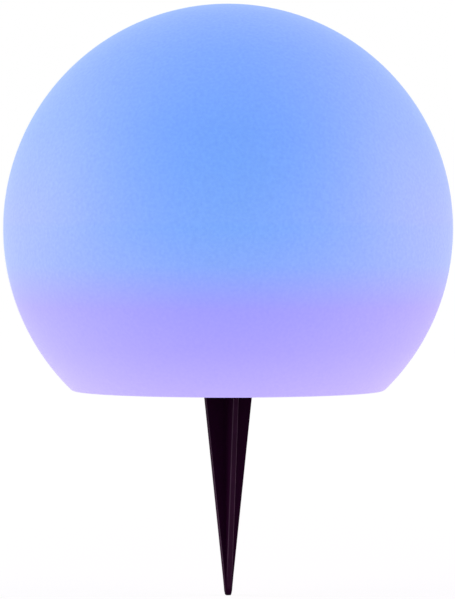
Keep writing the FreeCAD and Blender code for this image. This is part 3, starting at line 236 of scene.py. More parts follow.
def polyethyleneGlow():
    # Rotomoulded low-density polyethylene, lit from inside: waxy and milky, with a faint sugary
    # mottle from the powder that it was moulded of. It is blue above and violet near the light
    # unit, and daylight makes it paler.
    g = globe
    material, tree, shader, place = newMaterial("polyethylene", {
        "Roughness": 0.5, "IOR": 1.51, "Specular IOR Level": 0.12, "Emission Strength": 1.0})
    axes = addNode(tree, "SeparateXYZ", {"Vector": place})
    height = addNode(tree, "MapRange", {"Value": axes.outputs["Z"],
                                        "From Max": g["centre"] + g["radius"]})
    glow = addNode(tree, "ValToRGB", {"Fac": height})
    wall = addNode(tree, "ValToRGB", {"Fac": height})
    setStops(glow.color_ramp, g["glowStops"])
    setStops(wall.color_ramp, g["wallStops"])
    powder = addNode(tree, "TexNoise", {"Vector": place, "Scale": 1 / (g["powderMm"] * mm),
                                        "Detail": 3.0})
    powder = addNode(tree, "MapRange", {"Value": powder, "To Min": 1 - g["powderShare"],
                                        "To Max": 1 + g["powderShare"]})
    low, high = g["powderHeights"]
    clear = addNode(tree, "MapRange", {"Value": height, "From Min": low, "From Max": high,
                                       "To Min": g["powderLow"]})
    mottle = addNode(tree, "Mix", {"Factor": clear, "A": 1.0, "B": powder})
    light = addNode(tree, "VectorMath", {0: glow, 1: mottle}, operation="MULTIPLY")
    wall = addNode(tree, "VectorMath", {0: wall, 1: mottle}, operation="MULTIPLY")
    # the glow adds what the daylight on the front still lacks of the light's colour
    rest = addNode(tree, "VectorMath", {0: wall, 1: 3 * (-g["frontLight"],), 2: light},
                   operation="MULTIPLY_ADD")
    rest = addNode(tree, "VectorMath", {0: rest, 1: (0.0, 0.0, 0.0)}, operation="MAXIMUM")
    feed(tree, shader, {"Base Color": wall, "Emission Color": rest})
    grainedSurface(tree, shader, place, g)
    return material


def setStops(ramp, stops):
    while len(ramp.elements) < len(stops):
        ramp.elements.new(0.5)
    for element, (position, colour) in zip(ramp.elements, stops):
        element.position = position
        element.color = linear(colour)


def globeOutline():
    # the wall's section from the top pole, down outside, under, up the recess and back inside
    g = globe
    centre, radius, corner = g["centre"], g["radius"], g["cornerRadius"]

    def ballWithCorner(ballRadius, floor, bend):
        # arc of the ball, then the bend between the ball and the floor
        reach = math.sqrt((ballRadius - bend) ** 2 - (centre - floor - bend) ** 2)
        meet = math.degrees(math.atan2(floor + bend - centre, reach))
        ball = arcPoints((0, centre), ballRadius, 90, meet, g["arcPoints"])
        turn = arcPoints((reach, floor + bend), bend, meet, -90, g["cornerPoints"])
        return np.concatenate([ball, turn[1:]])

    outside = ballWithCorner(radius, 0, corner)
    inside = ballWithCorner(radius - g["wall"], g["wall"], corner - g["wall"])
    lipTop = g["recessDepth"] + g["wall"]
    wallOutside = g["recessRadius"] + g["wall"]
    small = g["smallEdge"]
    under = roundedLine(
        [outside[-1], (g["recessRadius"], 0), (g["recessRadius"], g["recessDepth"]),
         (g["mouthRadius"], g["recessDepth"]), (g["mouthRadius"], lipTop), (wallOutside, lipTop),
         (wallOutside, g["wall"]), inside[-1]],
        [g["edgeRadius"], small, small, small, small, small])
    outline = np.concatenate([outside, under[1:-1], inside[::-1]])
    outline[[0, -1], 0] = 0
    return outline


def makeGlobe():
    points, faces = turnedSurface(globeOutline(), globe["segments"])
    piece = meshPiece("globeShell", points, faces, "globe",
                      polyethyleneGlow(), globe["sharpDegrees"])
    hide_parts("globe_shell")
    print("stage: globe made,", len(piece.data.polygons), "faces")


# ---- ground spike

spike = {
    "turnDegrees": 19, "halfThickness": 1.9 * mm, "edgeRadius": 0.5 * mm, "rootRadius": 0.5 * mm,
    # height and half width of the ribs in mm, from the tip to the top of the stub
    "stations": ((-137.0, 1.4), (-136.4, 1.9), (-134.0, 2.2), (0.2, 16.9), (0.9, 16.9),
                 (2.3, 10.8), (27.0, 10.8), (29.0, 8.8)),
    "tipHalfThickness": 1.2 * mm,
    "collarRadius": 20 * mm, "collarLow": 0.2 * mm, "collarHigh": 3.0 * mm,
    "collarEdge": 0.4 * mm, "collarTopEdge": 0.1 * mm,
    # the root's points are an odd number, so that one is on the diagonal
    "rows": 60, "segments": 96, "rootPoints": 7, "sidePoints": 5, "edgePoints": 6,
    "sharpDegrees": 30,
    # a rounding takes at most this share of what it rounds, and is never quite sharp
    "mostRounding": 0.45, "leastRadius": 0.005 * mm,
    # the lighter colours of the rib ends and edges are painted highlights
    "face": "#1e001b", "ribEndHighlight": "#2c1228", "edge": "#483544",
    # the painted highlights stop short of the collar and fade out towards the tip
    "highlightTop": 0.1 * mm, "edgeFade": (-130 * mm, -110 * mm), "endFade": (-134 * mm, -131 * mm),
    # how near to a rib's end a point is on it, and the share of the edge's radius that is edge
    "endTouch": 0.02 * mm, "edgeShare": 0.8,
    "gloss": 0.7, "patchMm": 5.0, "shade": 0.25, "grainMm": 0.7, "depthMm": 0.01,
}


def spikeAbs():
    # Injection-moulded black ABS with a purple cast: satin and dull on the broad faces of the
    # ribs, with highlights painted lighter on their narrow ends and along the edges.
    s = spike
    material, tree, shader, place = newMaterial("spikeAbs", {
        "IOR": 1.54, "Specular IOR Level": 0.03})
    ends = addNode(tree, "Attribute", attribute_name="ribEndHighlight").outputs["Fac"]
    edges = addNode(tree, "Attribute", attribute_name="ribEdgeHighlight").outputs["Fac"]
    # painted highlights: lighter on the rib ends, lighter still along the edges
    highlighted = addNode(tree, "Mix", {"Factor": ends, "A": s["face"], "B": s["ribEndHighlight"]},
                     data_type="RGBA")
    highlighted = addNode(tree, "Mix", {"Factor": edges, "A": highlighted, "B": s["edge"]},
                     data_type="RGBA")
    patchySurface(tree, shader, place, s, highlighted)
    grainedSurface(tree, shader, place, s)
    return material


def crossSection(reach, thickness):
    # One arm of the plus sign's outline, turned four times: from a root's diagonal along the
    # side, round the end's two edges and back to the next root's diagonal.
    s = spike
    most = s["mostRounding"] * (reach - thickness)
    edge = max(min(s["edgeRadius"], s["mostRounding"] * thickness, most), s["leastRadius"])
    root = max(min(s["rootRadius"], most), s["leastRadius"])
    corner, beyond = thickness, thickness + 3 * root
    bend = roundedCorner((corner, beyond), (corner, corner), (beyond, corner), root,
                         s["rootPoints"])
    fromDiagonal = bend[len(bend) // 2:]
    side = np.linspace(fromDiagonal[-1], (reach - edge, thickness), s["sidePoints"])[1:-1]
    end = roundedCorner((reach - 2 * edge, thickness), (reach, thickness), (reach, 0), edge,
                        s["edgePoints"])
    half = np.concatenate([fromDiagonal, side, end])
    arm = np.concatenate([half[1:], (half * [1, -1])[::-1]])
    arms = []
    for quarter in range(4):
        angle = -quarter * math.pi / 2
        cosine, sine = math.cos(angle), math.sin(angle)
        arms.append(arm @ np.array([[cosine, sine], [-sine, cosine]]))
    return np.concatenate(arms)


def spikeReach(z):
    heights, reaches = (np.array(v) * mm for v in zip(*spike["stations"]))
    return np.interp(z, heights, reaches)


def makeSpike():
    s = spike
    heights = np.array([height for height, _ in s["stations"]]) * mm
    along = np.append(np.linspace(heights[2], heights[3], s["rows"])[1:-1], s["highlightTop"])
    z = np.sort(np.concatenate([heights, along]))
    thin = np.interp(z, heights[[0, 2]], [s["tipHalfThickness"], s["halfThickness"]])
    rings = np.stack([crossSection(reach, t) for reach, t in zip(spikeReach(z), thin)])
    turn = math.radians(s["turnDegrees"])
    x = rings[..., 0] * math.cos(turn) - rings[..., 1] * math.sin(turn)
    y = rings[..., 0] * math.sin(turn) + rings[..., 1] * math.cos(turn)
    points = np.stack([x, y, np.broadcast_to(z[:, None], x.shape)], axis=2).reshape(-1, 3)
    material = spikeAbs()
    piece = meshPiece("groundSpike", points, cappedFaces(len(z), rings.shape[1]), "stake",
                      material, s["sharpDegrees"])
    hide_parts("ground_spike")
    low, high = s["collarLow"], s["collarHigh"]
    outline = roundedLine([(0, low), (s["collarRadius"], low), (s["collarRadius"], high),
                           (0, high)], [s["collarEdge"], s["collarTopEdge"]])
    points, faces = turnedSurface(outline, s["segments"])
    joinSolids(piece, meshPiece("collar", points, faces, "stake", material,
                                s["sharpDegrees"]))
    finishMesh(piece.data, material, s["sharpDegrees"])
    markRibs(piece.data)
    print("stage: spike made,", len(piece.data.polygons), "faces")


def joinSolids(piece, other):
    # the union of two closed solids, as one moulding
    union = piece.modifiers.new("union", "BOOLEAN")
    union.operation = "UNION"
    union.object = other
    union.solver = "EXACT"
    joined = bpy.data.meshes.new_from_object(
        piece.evaluated_get(bpy.context.evaluated_depsgraph_get()))
    piece.modifiers.remove(union)
    piece.data = joined
    bpy.data.objects.remove(other)


def markRibs(mesh):
    # In the ribs' own directions u and v, a point is on a rib's end where the larger of |u| and
    # |v| is the reach there, and on an edge where it is also near the rib's half thickness.
    s = spike
    place = np.empty(3 * len(mesh.vertices))
    mesh.vertices.foreach_get("co", place)
    place = place.reshape(-1, 3)
    turn = math.radians(s["turnDegrees"])
    u = np.abs(place[:, 0] * math.cos(turn) + place[:, 1] * math.sin(turn))
    v = np.abs(place[:, 1] * math.cos(turn) - place[:, 0] * math.sin(turn))
    z = place[:, 2]
    below = z < s["highlightTop"] + s["endTouch"] / 2
    inFromEnd = spikeReach(z) - np.maximum(u, v)
    inFromSide = s["halfThickness"] - np.minimum(u, v)
    rounding = s["edgeShare"] * s["edgeRadius"]
    end = below & (inFromEnd < s["endTouch"])
    edge = below & (inFromEnd < rounding) & (inFromSide < rounding)
    # these marks carry the painted highlights on the ribs' ends and edges
    for name, marked, fade in (("ribEndHighlight", end, "endFade"), ("ribEdgeHighlight", edge, "edgeFade")):
        layer = mesh.attributes.new(name, "FLOAT", "POINT")
        share = np.interp(z, s[fade], (0, 1)) * marked
        layer.data.foreach_set("value", share.astype(np.float32))


# ---- plain mouldings, leads and metals of the base unit

plainFinishes = {
    # Injection-moulded black ABS with a fine spark-eroded grain: near black and satin.
    "housingAbs": {
        "nodes": ("base_housing", "battery_door"),
        "shader": {"IOR": 1.54, "Specular IOR Level": 0.2}, "colour": "#1c1420",
        "gloss": 0.42, "patchMm": 14.0, "shade": 0.2, "grainMm": 0.6, "depthMm": 0.02},
    # Injection-moulded white ABS: slightly warm, smoother than the housing, faint flow marks.
    "whiteAbs": {
        "nodes": ("top_cover", "clamp_ring"), "flow": (1.0, 0.25, 1.0),
        "shader": {"IOR": 1.54}, "colour": "#e6e4de",
        "gloss": 0.36, "patchMm": 16.0, "shade": 0.035, "grainMm": 0.9, "depthMm": 0.008},
    # Moulded thermoplastic rubber: dark grey, quite matt, with a fine peppery grain.
    "buttonRubber": {
        "nodes": ("power_button", "mode_button"),
        "shader": {"IOR": 1.5, "Specular IOR Level": 0.3}, "colour": "#2a282d",
        "gloss": 0.68, "patchMm": 3.0, "shade": 0.15, "grainMm": 0.35, "depthMm": 0.02},
    # Moulded nylon of the connectors and switch plungers: creamy and waxy.
    "nylon": {
        "nodes": ("power_plunger", "mode_plunger", "lead_connectors"),
        "shader": {"IOR": 1.53}, "colour": "#e2dccb",
        "gloss": 0.4, "patchMm": 4.0, "shade": 0.05, "grainMm": 0.4, "depthMm": 0.01},
    # Moulded black thermoplastic of the switches: dark grey, dull, stippled.
    "blackThermoplastic": {
        "nodes": ("power_switch", "mode_switch"),
        "shader": {"IOR": 1.55}, "colour": "#26262a",
        "gloss": 0.55, "patchMm": 2.0, "shade": 0.12, "grainMm": 0.15, "depthMm": 0.01},
    # Extruded PVC of the leads: satin, with a faint waviness along the wire.
    "redInsulation": {
        "nodes": ("solar_lead_positive", "battery_lead_positive"),
        "shader": {"IOR": 1.53}, "colour": "#b3191c",
        "gloss": 0.38, "patchMm": 5.0, "shade": 0.1, "grainMm": 1.2, "depthMm": 0.02},
    "blackInsulation": {
        "nodes": ("solar_lead_negative", "battery_lead_negative"),
        "shader": {"IOR": 1.53}, "colour": "#1e1e20",
        "gloss": 0.38, "patchMm": 5.0, "shade": 0.1, "grainMm": 1.2, "depthMm": 0.02},
    "whiteInsulation": {
        "nodes": ("light_leads",),
        "shader": {"IOR": 1.53}, "colour": "#dddcd8",
        "gloss": 0.38, "patchMm": 5.0, "shade": 0.1, "grainMm": 1.2, "depthMm": 0.02},
    # Cold-headed stainless steel screws: bright grey, lightly scuffed along one way.
    "stainlessSteel": {
        "nodes": ("flange_screws", "cover_screws", "board_screws", "door_screws",
                  "seal_retainers"),
        "shader": {"Metallic": 1.0}, "colour": "#c6c5c3", "drawn": (0.1, 1.0, 1.0),
        "gloss": 0.3, "patchMm": 3.0, "shade": 0.06, "grainMm": 0.25, "depthMm": 0.004},
    # Nickel-plated spring steel: warmer and softer than the screws, with rolling marks.
    "nickelPlate": {
        "nodes": ("negative_contact", "positive_contact", "contact_spring"),
        "shader": {"Metallic": 1.0}, "colour": "#cfc9bf", "drawn": (0.1, 1.0, 1.0),
        "gloss": 0.26, "patchMm": 3.0, "shade": 0.06, "grainMm": 0.2, "depthMm": 0.003},
}


def plainFinish(name, look):
    # flow draws out the patches and drawn the grain, where the scale on an axis is below 1
    material, tree, shader, place = newMaterial(name, look["shader"])
    even = (1.0, 1.0, 1.0)
    flow = addNode(tree, "Mapping", {"Vector": place, "Scale": look.get("flow", even)})
    drawn = addNode(tree, "Mapping", {"Vector": place, "Scale": look.get("drawn", even)})
    patchySurface(tree, shader, flow, look)
    grainedSurface(tree, shader, drawn, look)
    return material


# ---- seals

seals = {
    "colour": "#a3a19d", "dust": "#c4c2bd", "dustMm": 0.8, "dustFrom": 0.58, "dustFull": 0.7,
    "gloss": 0.55, "patchMm": 6.0, "shade": 0.06, "grainMm": 0.5, "depthMm": 0.01,
}


def siliconeRubber():
    # Moulded silicone for the seals: grey, slightly see-through, soft sheen and a little dust.
    material, tree, shader, place = newMaterial("siliconeRubber", {
        "IOR": 1.41, "Subsurface Weight": 0.15, "Subsurface Scale": 1 * mm})
    dust = addNode(tree, "TexNoise", {"Vector": place, "Scale": 1 / (seals["dustMm"] * mm),
                                      "Detail": 4.0})
    dusty = addNode(tree, "MapRange", {"Value": dust, "From Min": seals["dustFrom"],
                                       "From Max": seals["dustFull"]})
    colour = addNode(tree, "Mix", {"Factor": dusty, "A": seals["colour"], "B": seals["dust"]},
                     data_type="RGBA")
    patchySurface(tree, shader, place, seals, colour)
    grainedSurface(tree, shader, place, seals)
    return material


# ---- solar panel

panel = {
    "strips": 8, "stripGap": 0.8 * mm, "busWidth": 1.2 * mm,
    "fingerPitch": 1.8 * mm, "fingerWidth": 0.16 * mm,
    "darkCell": "#06113c", "paleCell": "#102266", "crystalMm": 18.0, "silver": "#c9ccd2",
    "gloss": 0.3, "patchMm": 9.0, "shade": 0.08, "grainMm": 0.3, "depthMm": 0.004,
}

panelGlass = {
    # it lies on a clear film over the cells, and its cut edges are ground
    "film": 0.08 * mm, "corner": 1.0 * mm, "ground": 0.35 * mm, "cornerPoints": 6,
    "sharpDegrees": 20, "grainMm": 1.4, "depthMm": 0.01,
}


def siliconWafer():
    # Monocrystalline silicon with its blue-black anti-reflection layer, printed with silver
    # fingers across each strip and one busbar along it. The fingers, 0.1 mm wide on the real
    # thing, are drawn 0.16 mm wide so that they show.
    p = panel
    material, tree, shader, place = newMaterial("siliconWafer", {
        "IOR": 1.6, "Specular IOR Level": 0.05})
    low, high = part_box("solar_cells")
    pitch = (high[0] - low[0] + p["stripGap"]) / p["strips"]
    axes = addNode(tree, "SeparateXYZ", {"Vector": place})
    stripe = addNode(tree, "Math", {0: axes.outputs["X"], 1: low[0]}, operation="SUBTRACT")
    stripe = addNode(tree, "Math", {0: stripe, 1: pitch}, operation="MODULO")
    busbar = addNode(tree, "Math", {0: stripe, 1: (pitch - p["stripGap"]) / 2,
                                    2: p["busWidth"] / 2}, operation="COMPARE")
    row = addNode(tree, "Math", {0: axes.outputs["Y"], 1: low[1] - p["fingerPitch"] / 2},
                  operation="SUBTRACT")
    row = addNode(tree, "Math", {0: row, 1: p["fingerPitch"]}, operation="MODULO")
    finger = addNode(tree, "Math", {0: row, 1: p["fingerPitch"] / 2, 2: p["fingerWidth"] / 2},
                     operation="COMPARE")
    silver = addNode(tree, "Math", {0: busbar, 1: finger}, operation="MAXIMUM")
    crystal = addNode(tree, "TexNoise", {"Vector": place, "Scale": 1 / (p["crystalMm"] * mm),
                                         "Detail": 1.0})
    layer = addNode(tree, "Mix", {"Factor": crystal, "A": p["darkCell"], "B": p["paleCell"]},
                    data_type="RGBA")
    colour = addNode(tree, "Mix", {"Factor": silver, "A": layer, "B": p["silver"]},
                     data_type="RGBA")
    patchySurface(tree, shader, place, p, colour)
    feed(tree, shader, {"Metallic": silver})
    grainedSurface(tree, shader, place, p)
    return material


def solarGlass():
    # Rolled low-iron glass: clear, a breath of green, its face very slightly dimpled. It is
    # bonded to the cells, so only its top reflects, and the IOR is lowered from 1.52 so that
    # its three faces here reflect together as that one does.
    material, tree, shader, place = newMaterial("solarGlass", {
        "Base Color": "#f3fbf6", "Transmission Weight": 1.0, "IOR": 1.27, "Roughness": 0.03})
    grainedSurface(tree, shader, place, panelGlass)
    return material


def slabSurface(halfWidth, halfDepth, corner, section, cornerPoints):
    # each section point (inset, z) makes one ring: a rounded rectangle whose sides are drawn in
    # by the inset, its corners at centre + (corner - inset) (cos a, sin a)
    quarter = np.linspace(0, math.pi / 2, cornerPoints)
    angle = np.concatenate([quarter + n * math.pi / 2 for n in range(4)])
    centreX = np.repeat([1, -1, -1, 1], cornerPoints) * (halfWidth - corner)
    centreY = np.repeat([1, 1, -1, -1], cornerPoints) * (halfDepth - corner)
    radius = corner - section[:, 0][:, None]
    points = np.stack([centreX + radius * np.cos(angle), centreY + radius * np.sin(angle),
                       section[:, 1][:, None] + 0 * angle], axis=2)
    return points.reshape(-1, 3), cappedFaces(len(section), len(angle))


def makeWindow():
    # a flat slab whose edges are ground at 45 degrees
    p = panelGlass
    low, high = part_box("solar_window")
    bottom, top, ground = low[2] + p["film"], high[2], p["ground"]
    section = np.array([(ground / 2, bottom), (0, bottom + ground / 2), (0, top - ground),
                        (ground, top)])
    points, faces = slabSurface(high[0], high[1], p["corner"], section, p["cornerPoints"])
    piece = meshPiece("solarWindow", points, faces, "base", solarGlass(),
                      p["sharpDegrees"])
    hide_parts("solar_window")
    print("stage: solar window made")


# ---- lights and their lenses

lights = {
    # the four lights stand on this circle, and the glow is full inside this share of the cup
    "circle": 54 * mm, "cupRadius": 1.95 * mm, "fullGlow": 0.8,
    "body": "#efece2", "cup": "#b9a9ff", "glow": "#8f7bff",
    "gloss": 0.35, "patchMm": 1.5, "shade": 0.04, "grainMm": 0.2, "depthMm": 0.004,
}

lenses = {"grainMm": 0.8, "depthMm": 0.01}


def lightPackage():
    # White polyphthalamide package with a round cup of clear resin, where three chips glow
    # blue-violet.
    material, tree, shader, place = newMaterial("lightPackage", {
        "IOR": 1.6, "Emission Strength": 2.0})
    flat = addNode(tree, "VectorMath", {0: place, 1: (1.0, 1.0, 0.0)}, operation="MULTIPLY")
    flat = addNode(tree, "VectorMath", {0: flat}, operation="ABSOLUTE")
    away = []
    for spot in ((lights["circle"], 0, 0), (0, lights["circle"], 0)):
        away.append(addNode(tree, "VectorMath", {0: flat, 1: spot},
                            operation="DISTANCE").outputs["Value"])
    nearest = addNode(tree, "Math", {0: away[0], 1: away[1]}, operation="MINIMUM")
    cup = addNode(tree, "MapRange", {"Value": nearest, "From Min": lights["cupRadius"],
                                     "From Max": lights["fullGlow"] * lights["cupRadius"]})
    colour = addNode(tree, "Mix", {"Factor": cup, "A": lights["body"], "B": lights["cup"]},
                     data_type="RGBA")
    glow = addNode(tree, "Mix", {"Factor": cup, "A": "#000000", "B": lights["glow"]},
                   data_type="RGBA")
    patchySurface(tree, shader, place, lights, colour)
    feed(tree, shader, {"Emission Color": glow})
    grainedSurface(tree, shader, place, lights)
    return material


def clearLens():
    # Moulded clear polycarbonate over each light: it gathers a little of the light's violet.
    material, tree, shader, place = newMaterial("clearPolycarbonate", {
        "Base Color": "#f0eeff", "Transmission Weight": 1.0, "IOR": 1.585, "Roughness": 0.12,
        "Emission Color": "#9c8cff", "Emission Strength": 0.25})
    grainedSurface(tree, shader, place, lenses)
    return material


# ---- circuit boards

boards = {
    # tracks run one way in each area, and a share of the areas has none
    "trackWidth": 0.5 * mm, "trackPitch": 2.54 * mm, "areaMm": 11.0, "bareShare": 0.45,
    "copperStep": 0.04 * mm, "gloss": 0.28, "patchMm": 8.0, "shade": 0.06,
    "greenBoard": {"nodes": ("main_board",),
                   "mask": "#0c4425", "track": "#1a6a3a", "cut": "#b7a878"},
    "whiteBoard": {"nodes": ("light_board",),
                   "mask": "#e9e8e2", "track": "#d8d6cc", "cut": "#c9bb92"},
    "panelBoard": {"nodes": ("solar_backsheet",),
                   "mask": "#dedcd4", "track": "#cfccc2", "cut": "#c9bb92"},
}


def circuitBoard(name):
    # Glass-epoxy board under solder mask: glossy, with tracks showing as slightly raised lines
    # in bundles along x or along y, and a bare fawn edge where it was cut out.
    b, look = boards, boards[name]
    material, tree, shader, place = newMaterial(name, {"IOR": 1.55})
    axes = addNode(tree, "SeparateXYZ", {"Vector": place})
    areas = addNode(tree, "TexVoronoi", {"Vector": place, "Scale": 1 / (b["areaMm"] * mm)},
                    distance="CHEBYCHEV")
    kinds = addNode(tree, "SeparateColor", {"Color": areas.outputs["Color"]})
    lines = []
    for axis in ("X", "Y"):
        step = addNode(tree, "Math", {0: axes.outputs[axis], 1: b["trackPitch"] / 2},
                       operation="PINGPONG")
        lines.append(addNode(tree, "Math", {0: step, 1: b["trackWidth"] / 2},
                             operation="LESS_THAN"))
    upright = addNode(tree, "Math", {0: kinds.outputs["Red"], 1: 0.5}, operation="GREATER_THAN")
    tracks = addNode(tree, "Mix", {"Factor": upright, "A": lines[0], "B": lines[1]})
    present = addNode(tree, "Math", {0: kinds.outputs["Green"], 1: b["bareShare"]},
                      operation="GREATER_THAN")
    tracks = addNode(tree, "Math", {0: tracks, 1: present}, operation="MULTIPLY")
    normal = addNode(tree, "NewGeometry").outputs["Normal"]
    upwards = addNode(tree, "SeparateXYZ", {"Vector": normal}).outputs["Z"]
    upwards = addNode(tree, "Math", {0: upwards}, operation="ABSOLUTE")
    cutEdge = addNode(tree, "Math", {0: upwards, 1: 0.5}, operation="LESS_THAN")
    face = addNode(tree, "Mix", {"Factor": tracks, "A": look["mask"], "B": look["track"]},
                   data_type="RGBA")
    colour = addNode(tree, "Mix", {"Factor": cutEdge, "A": face, "B": look["cut"]},
                     data_type="RGBA")
    patchySurface(tree, shader, place, b, colour)
    feed(tree, shader, {"Normal": addNode(tree, "Bump", {
        "Height": tracks, "Distance": b["copperStep"], "Strength": 1.0})})
    return material


# ---- parts on the main board

coil = {
    "plate": 1.05 * mm, "wire": 0.4 * mm, "ferrite": "#3a3a3c",
    "copperCreaseShade": "#5a2410", "copper": "#c8743c", "copperMetallic": 0.7,
    "gloss": 0.5, "patchMm": 1.5, "shade": 0.1,
}


def woundFerrite():
    # Sintered ferrite bobbin, dark grey and matt, wound with enamelled copper between its plates.
    material, tree, shader, place = newMaterial("woundFerrite", {"IOR": 1.6})
    low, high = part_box("inductor")
    middle = [(a + b) / 2 for a, b in zip(low, high)]
    centred = addNode(tree, "VectorMath", {0: place, 1: middle}, operation="SUBTRACT")
    axes = addNode(tree, "SeparateXYZ", {"Vector": centred})
    height = addNode(tree, "Math", {0: axes.outputs["Z"]}, operation="ABSOLUTE")
    between = addNode(tree, "Math", {0: height, 1: (high[2] - low[2]) / 2 - coil["plate"]},
                      operation="LESS_THAN")
    # the copper is painted darker in the crease between each two turns: painted shade
    turns = addNode(tree, "Math", {0: axes.outputs["Z"], 1: coil["wire"] / 2},
                    operation="PINGPONG")
    turns = addNode(tree, "MapRange", {"Value": turns, "From Max": coil["wire"] / 2})
    wire = addNode(tree, "Mix", {"Factor": turns, "A": coil["copperCreaseShade"], "B": coil["copper"]},
                   data_type="RGBA")
    colour = addNode(tree, "Mix", {"Factor": between, "A": coil["ferrite"], "B": wire},
                     data_type="RGBA")
    metallic = addNode(tree, "Math", {0: between, 1: coil["copperMetallic"]},
                       operation="MULTIPLY")
    patchySurface(tree, shader, place, coil, colour)
    feed(tree, shader, {"Metallic": metallic})
    return material


chip = {
    "width": 3.9 * mm, "margin": 0.02 * mm, "epoxy": "#232327", "tin": "#c9c8c4",
    "gloss": 0.45, "patchMm": 1.5, "shade": 0.08, "grainMm": 0.15, "depthMm": 0.008,
}


def chipBody():
    # Black epoxy case with tinned legs, which start outside the case's sides.
    material, tree, shader, place = newMaterial("chipBody", {"IOR": 1.55})
    low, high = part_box("controller_chip")
    axes = addNode(tree, "SeparateXYZ", {"Vector": place})
    off = addNode(tree, "Math", {0: axes.outputs["Y"], 1: (low[1] + high[1]) / 2},
                  operation="SUBTRACT")
    off = addNode(tree, "Math", {0: off}, operation="ABSOLUTE")
    leg = addNode(tree, "Math", {0: off, 1: chip["width"] / 2 + chip["margin"]},
                  operation="GREATER_THAN")
    colour = addNode(tree, "Mix", {"Factor": leg, "A": chip["epoxy"], "B": chip["tin"]},
                     data_type="RGBA")
    patchySurface(tree, shader, place, chip, colour)
    feed(tree, shader, {"Metallic": leg})
    grainedSurface(tree, shader, place, chip)
    return material


resistors = {
    "length": 2.0 * mm, "pitch": 4.0 * mm, "bodyShare": 0.6, "glaze": 0.1 * mm,
    "alumina": "#ded9cf", "black": "#1c1c1e", "tin": "#cfcdc8",
    "gloss": 0.35, "patchMm": 1.0, "shade": 0.05,
}


def chipResistor():
    # Ceramic chips: black glaze on top, white alumina sides and tinned end caps.
    r = resistors
    material, tree, shader, place = newMaterial("chipResistor", {"IOR": 1.6})
    low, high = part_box("chip_resistors")
    axes = addNode(tree, "SeparateXYZ", {"Vector": place})
    along = addNode(tree, "Math", {0: axes.outputs["X"], 1: low[0]}, operation="SUBTRACT")
    along = addNode(tree, "Math", {0: along, 1: r["pitch"]}, operation="MODULO")
    body = addNode(tree, "Math", {0: along, 1: r["length"] / 2,
                                  2: r["bodyShare"] * r["length"] / 2}, operation="COMPARE")
    top = addNode(tree, "Math", {0: axes.outputs["Z"], 1: high[2] - r["glaze"]},
                  operation="GREATER_THAN")
    ceramic = addNode(tree, "Mix", {"Factor": top, "A": r["alumina"], "B": r["black"]},
                      data_type="RGBA")
    colour = addNode(tree, "Mix", {"Factor": body, "A": r["tin"], "B": ceramic},
                     data_type="RGBA")
    patchySurface(tree, shader, place, r, colour)
    feed(tree, shader, {"Metallic": addNode(tree, "Math", {0: 1.0, 1: body},
                                            operation="SUBTRACT")})
    return material


can = {
    "markShare": 0.22, "aluminium": "#dcdcde", "mark": "#1a1a1c",
    "gloss": 0.25, "patchMm": 2.0, "shade": 0.05, "grainMm": 0.3, "depthMm": 0.003,
}


def drawnAluminium():
    # The capacitor's drawn aluminium can: bright, with the dark polarity mark on one side.
    material, tree, shader, place = newMaterial("drawnAluminium")
    low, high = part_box("capacitor")
    axes = addNode(tree, "SeparateXYZ", {"Vector": place})
    marked = addNode(tree, "Math", {
        0: axes.outputs["X"], 1: low[0] + can["markShare"] * (high[0] - low[0])},
        operation="LESS_THAN")
    colour = addNode(tree, "Mix", {"Factor": marked, "A": can["aluminium"], "B": can["mark"]},
                     data_type="RGBA")
    patchySurface(tree, shader, place, can, colour)
    feed(tree, shader, {"Metallic": addNode(tree, "Math", {0: 1.0, 1: marked},
                                            operation="SUBTRACT")})
    grainedSurface(tree, shader, place, can)
    return material


# ---- battery cell

cell = {
    "terminal": 1.4 * mm, "bareEnd": 0.9 * mm, "sleeve": "#1d6f86", "steel": "#cfccc6",
    "gloss": 0.22, "patchMm": 10.0, "shade": 0.08, "grainMm": 3.0, "depthMm": 0.03,
}


def cellSleeve():
    # Shrink sleeve of glossy blue-green PVC, with the bare nickel-plated ends of the can.
    material, tree, shader, place = newMaterial("cellSleeve", {"IOR": 1.53})
    low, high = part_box("battery_cell")
    axes = addNode(tree, "SeparateXYZ", {"Vector": place})
    middle = (low[0] + high[0] - cell["terminal"]) / 2
    off = addNode(tree, "Math", {0: axes.outputs["X"], 1: middle}, operation="SUBTRACT")
    off = addNode(tree, "Math", {0: off}, operation="ABSOLUTE")
    bare = addNode(tree, "Math", {0: off, 1: (high[0] - low[0]) / 2 - cell["bareEnd"]},
                   operation="GREATER_THAN")
    colour = addNode(tree, "Mix", {"Factor": bare, "A": cell["sleeve"], "B": cell["steel"]},
                     data_type="RGBA")
    patchySurface(tree, shader, place, cell, colour)
    feed(tree, shader, {"Metallic": bare})
    grainedSurface(tree, shader, place, cell)
    return material


# ---- the CAD nodes' finishes

specialFinishes = {
    siliconeRubber: ("globe_gasket", "cover_gasket", "door_gasket", "button_seals"),
    siliconWafer: ("solar_cells",),
    lightPackage: ("colour_lights",),
    clearLens: ("light_lenses",),
    woundFerrite: ("inductor",),
    chipBody: ("controller_chip",),
    chipResistor: ("chip_resistors",),
    drawnAluminium: ("capacitor",),
    cellSleeve: ("battery_cell",),
}


def dressNodes():
    made = {}
    for name, look in plainFinishes.items():
        made.update(dict.fromkeys(look["nodes"], plainFinish(name, look)))
    for name in ("greenBoard", "whiteBoard", "panelBoard"):
        made.update(dict.fromkeys(boards[name]["nodes"], circuitBoard(name)))
    for finish, nodes in specialFinishes.items():
        made.update(dict.fromkeys(nodes, finish()))
    for node, material in made.items():
        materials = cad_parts[node].data.materials
        materials.clear()
        materials.append(material)
    print("stage:", len(made), "nodes dressed")


# ---- studio

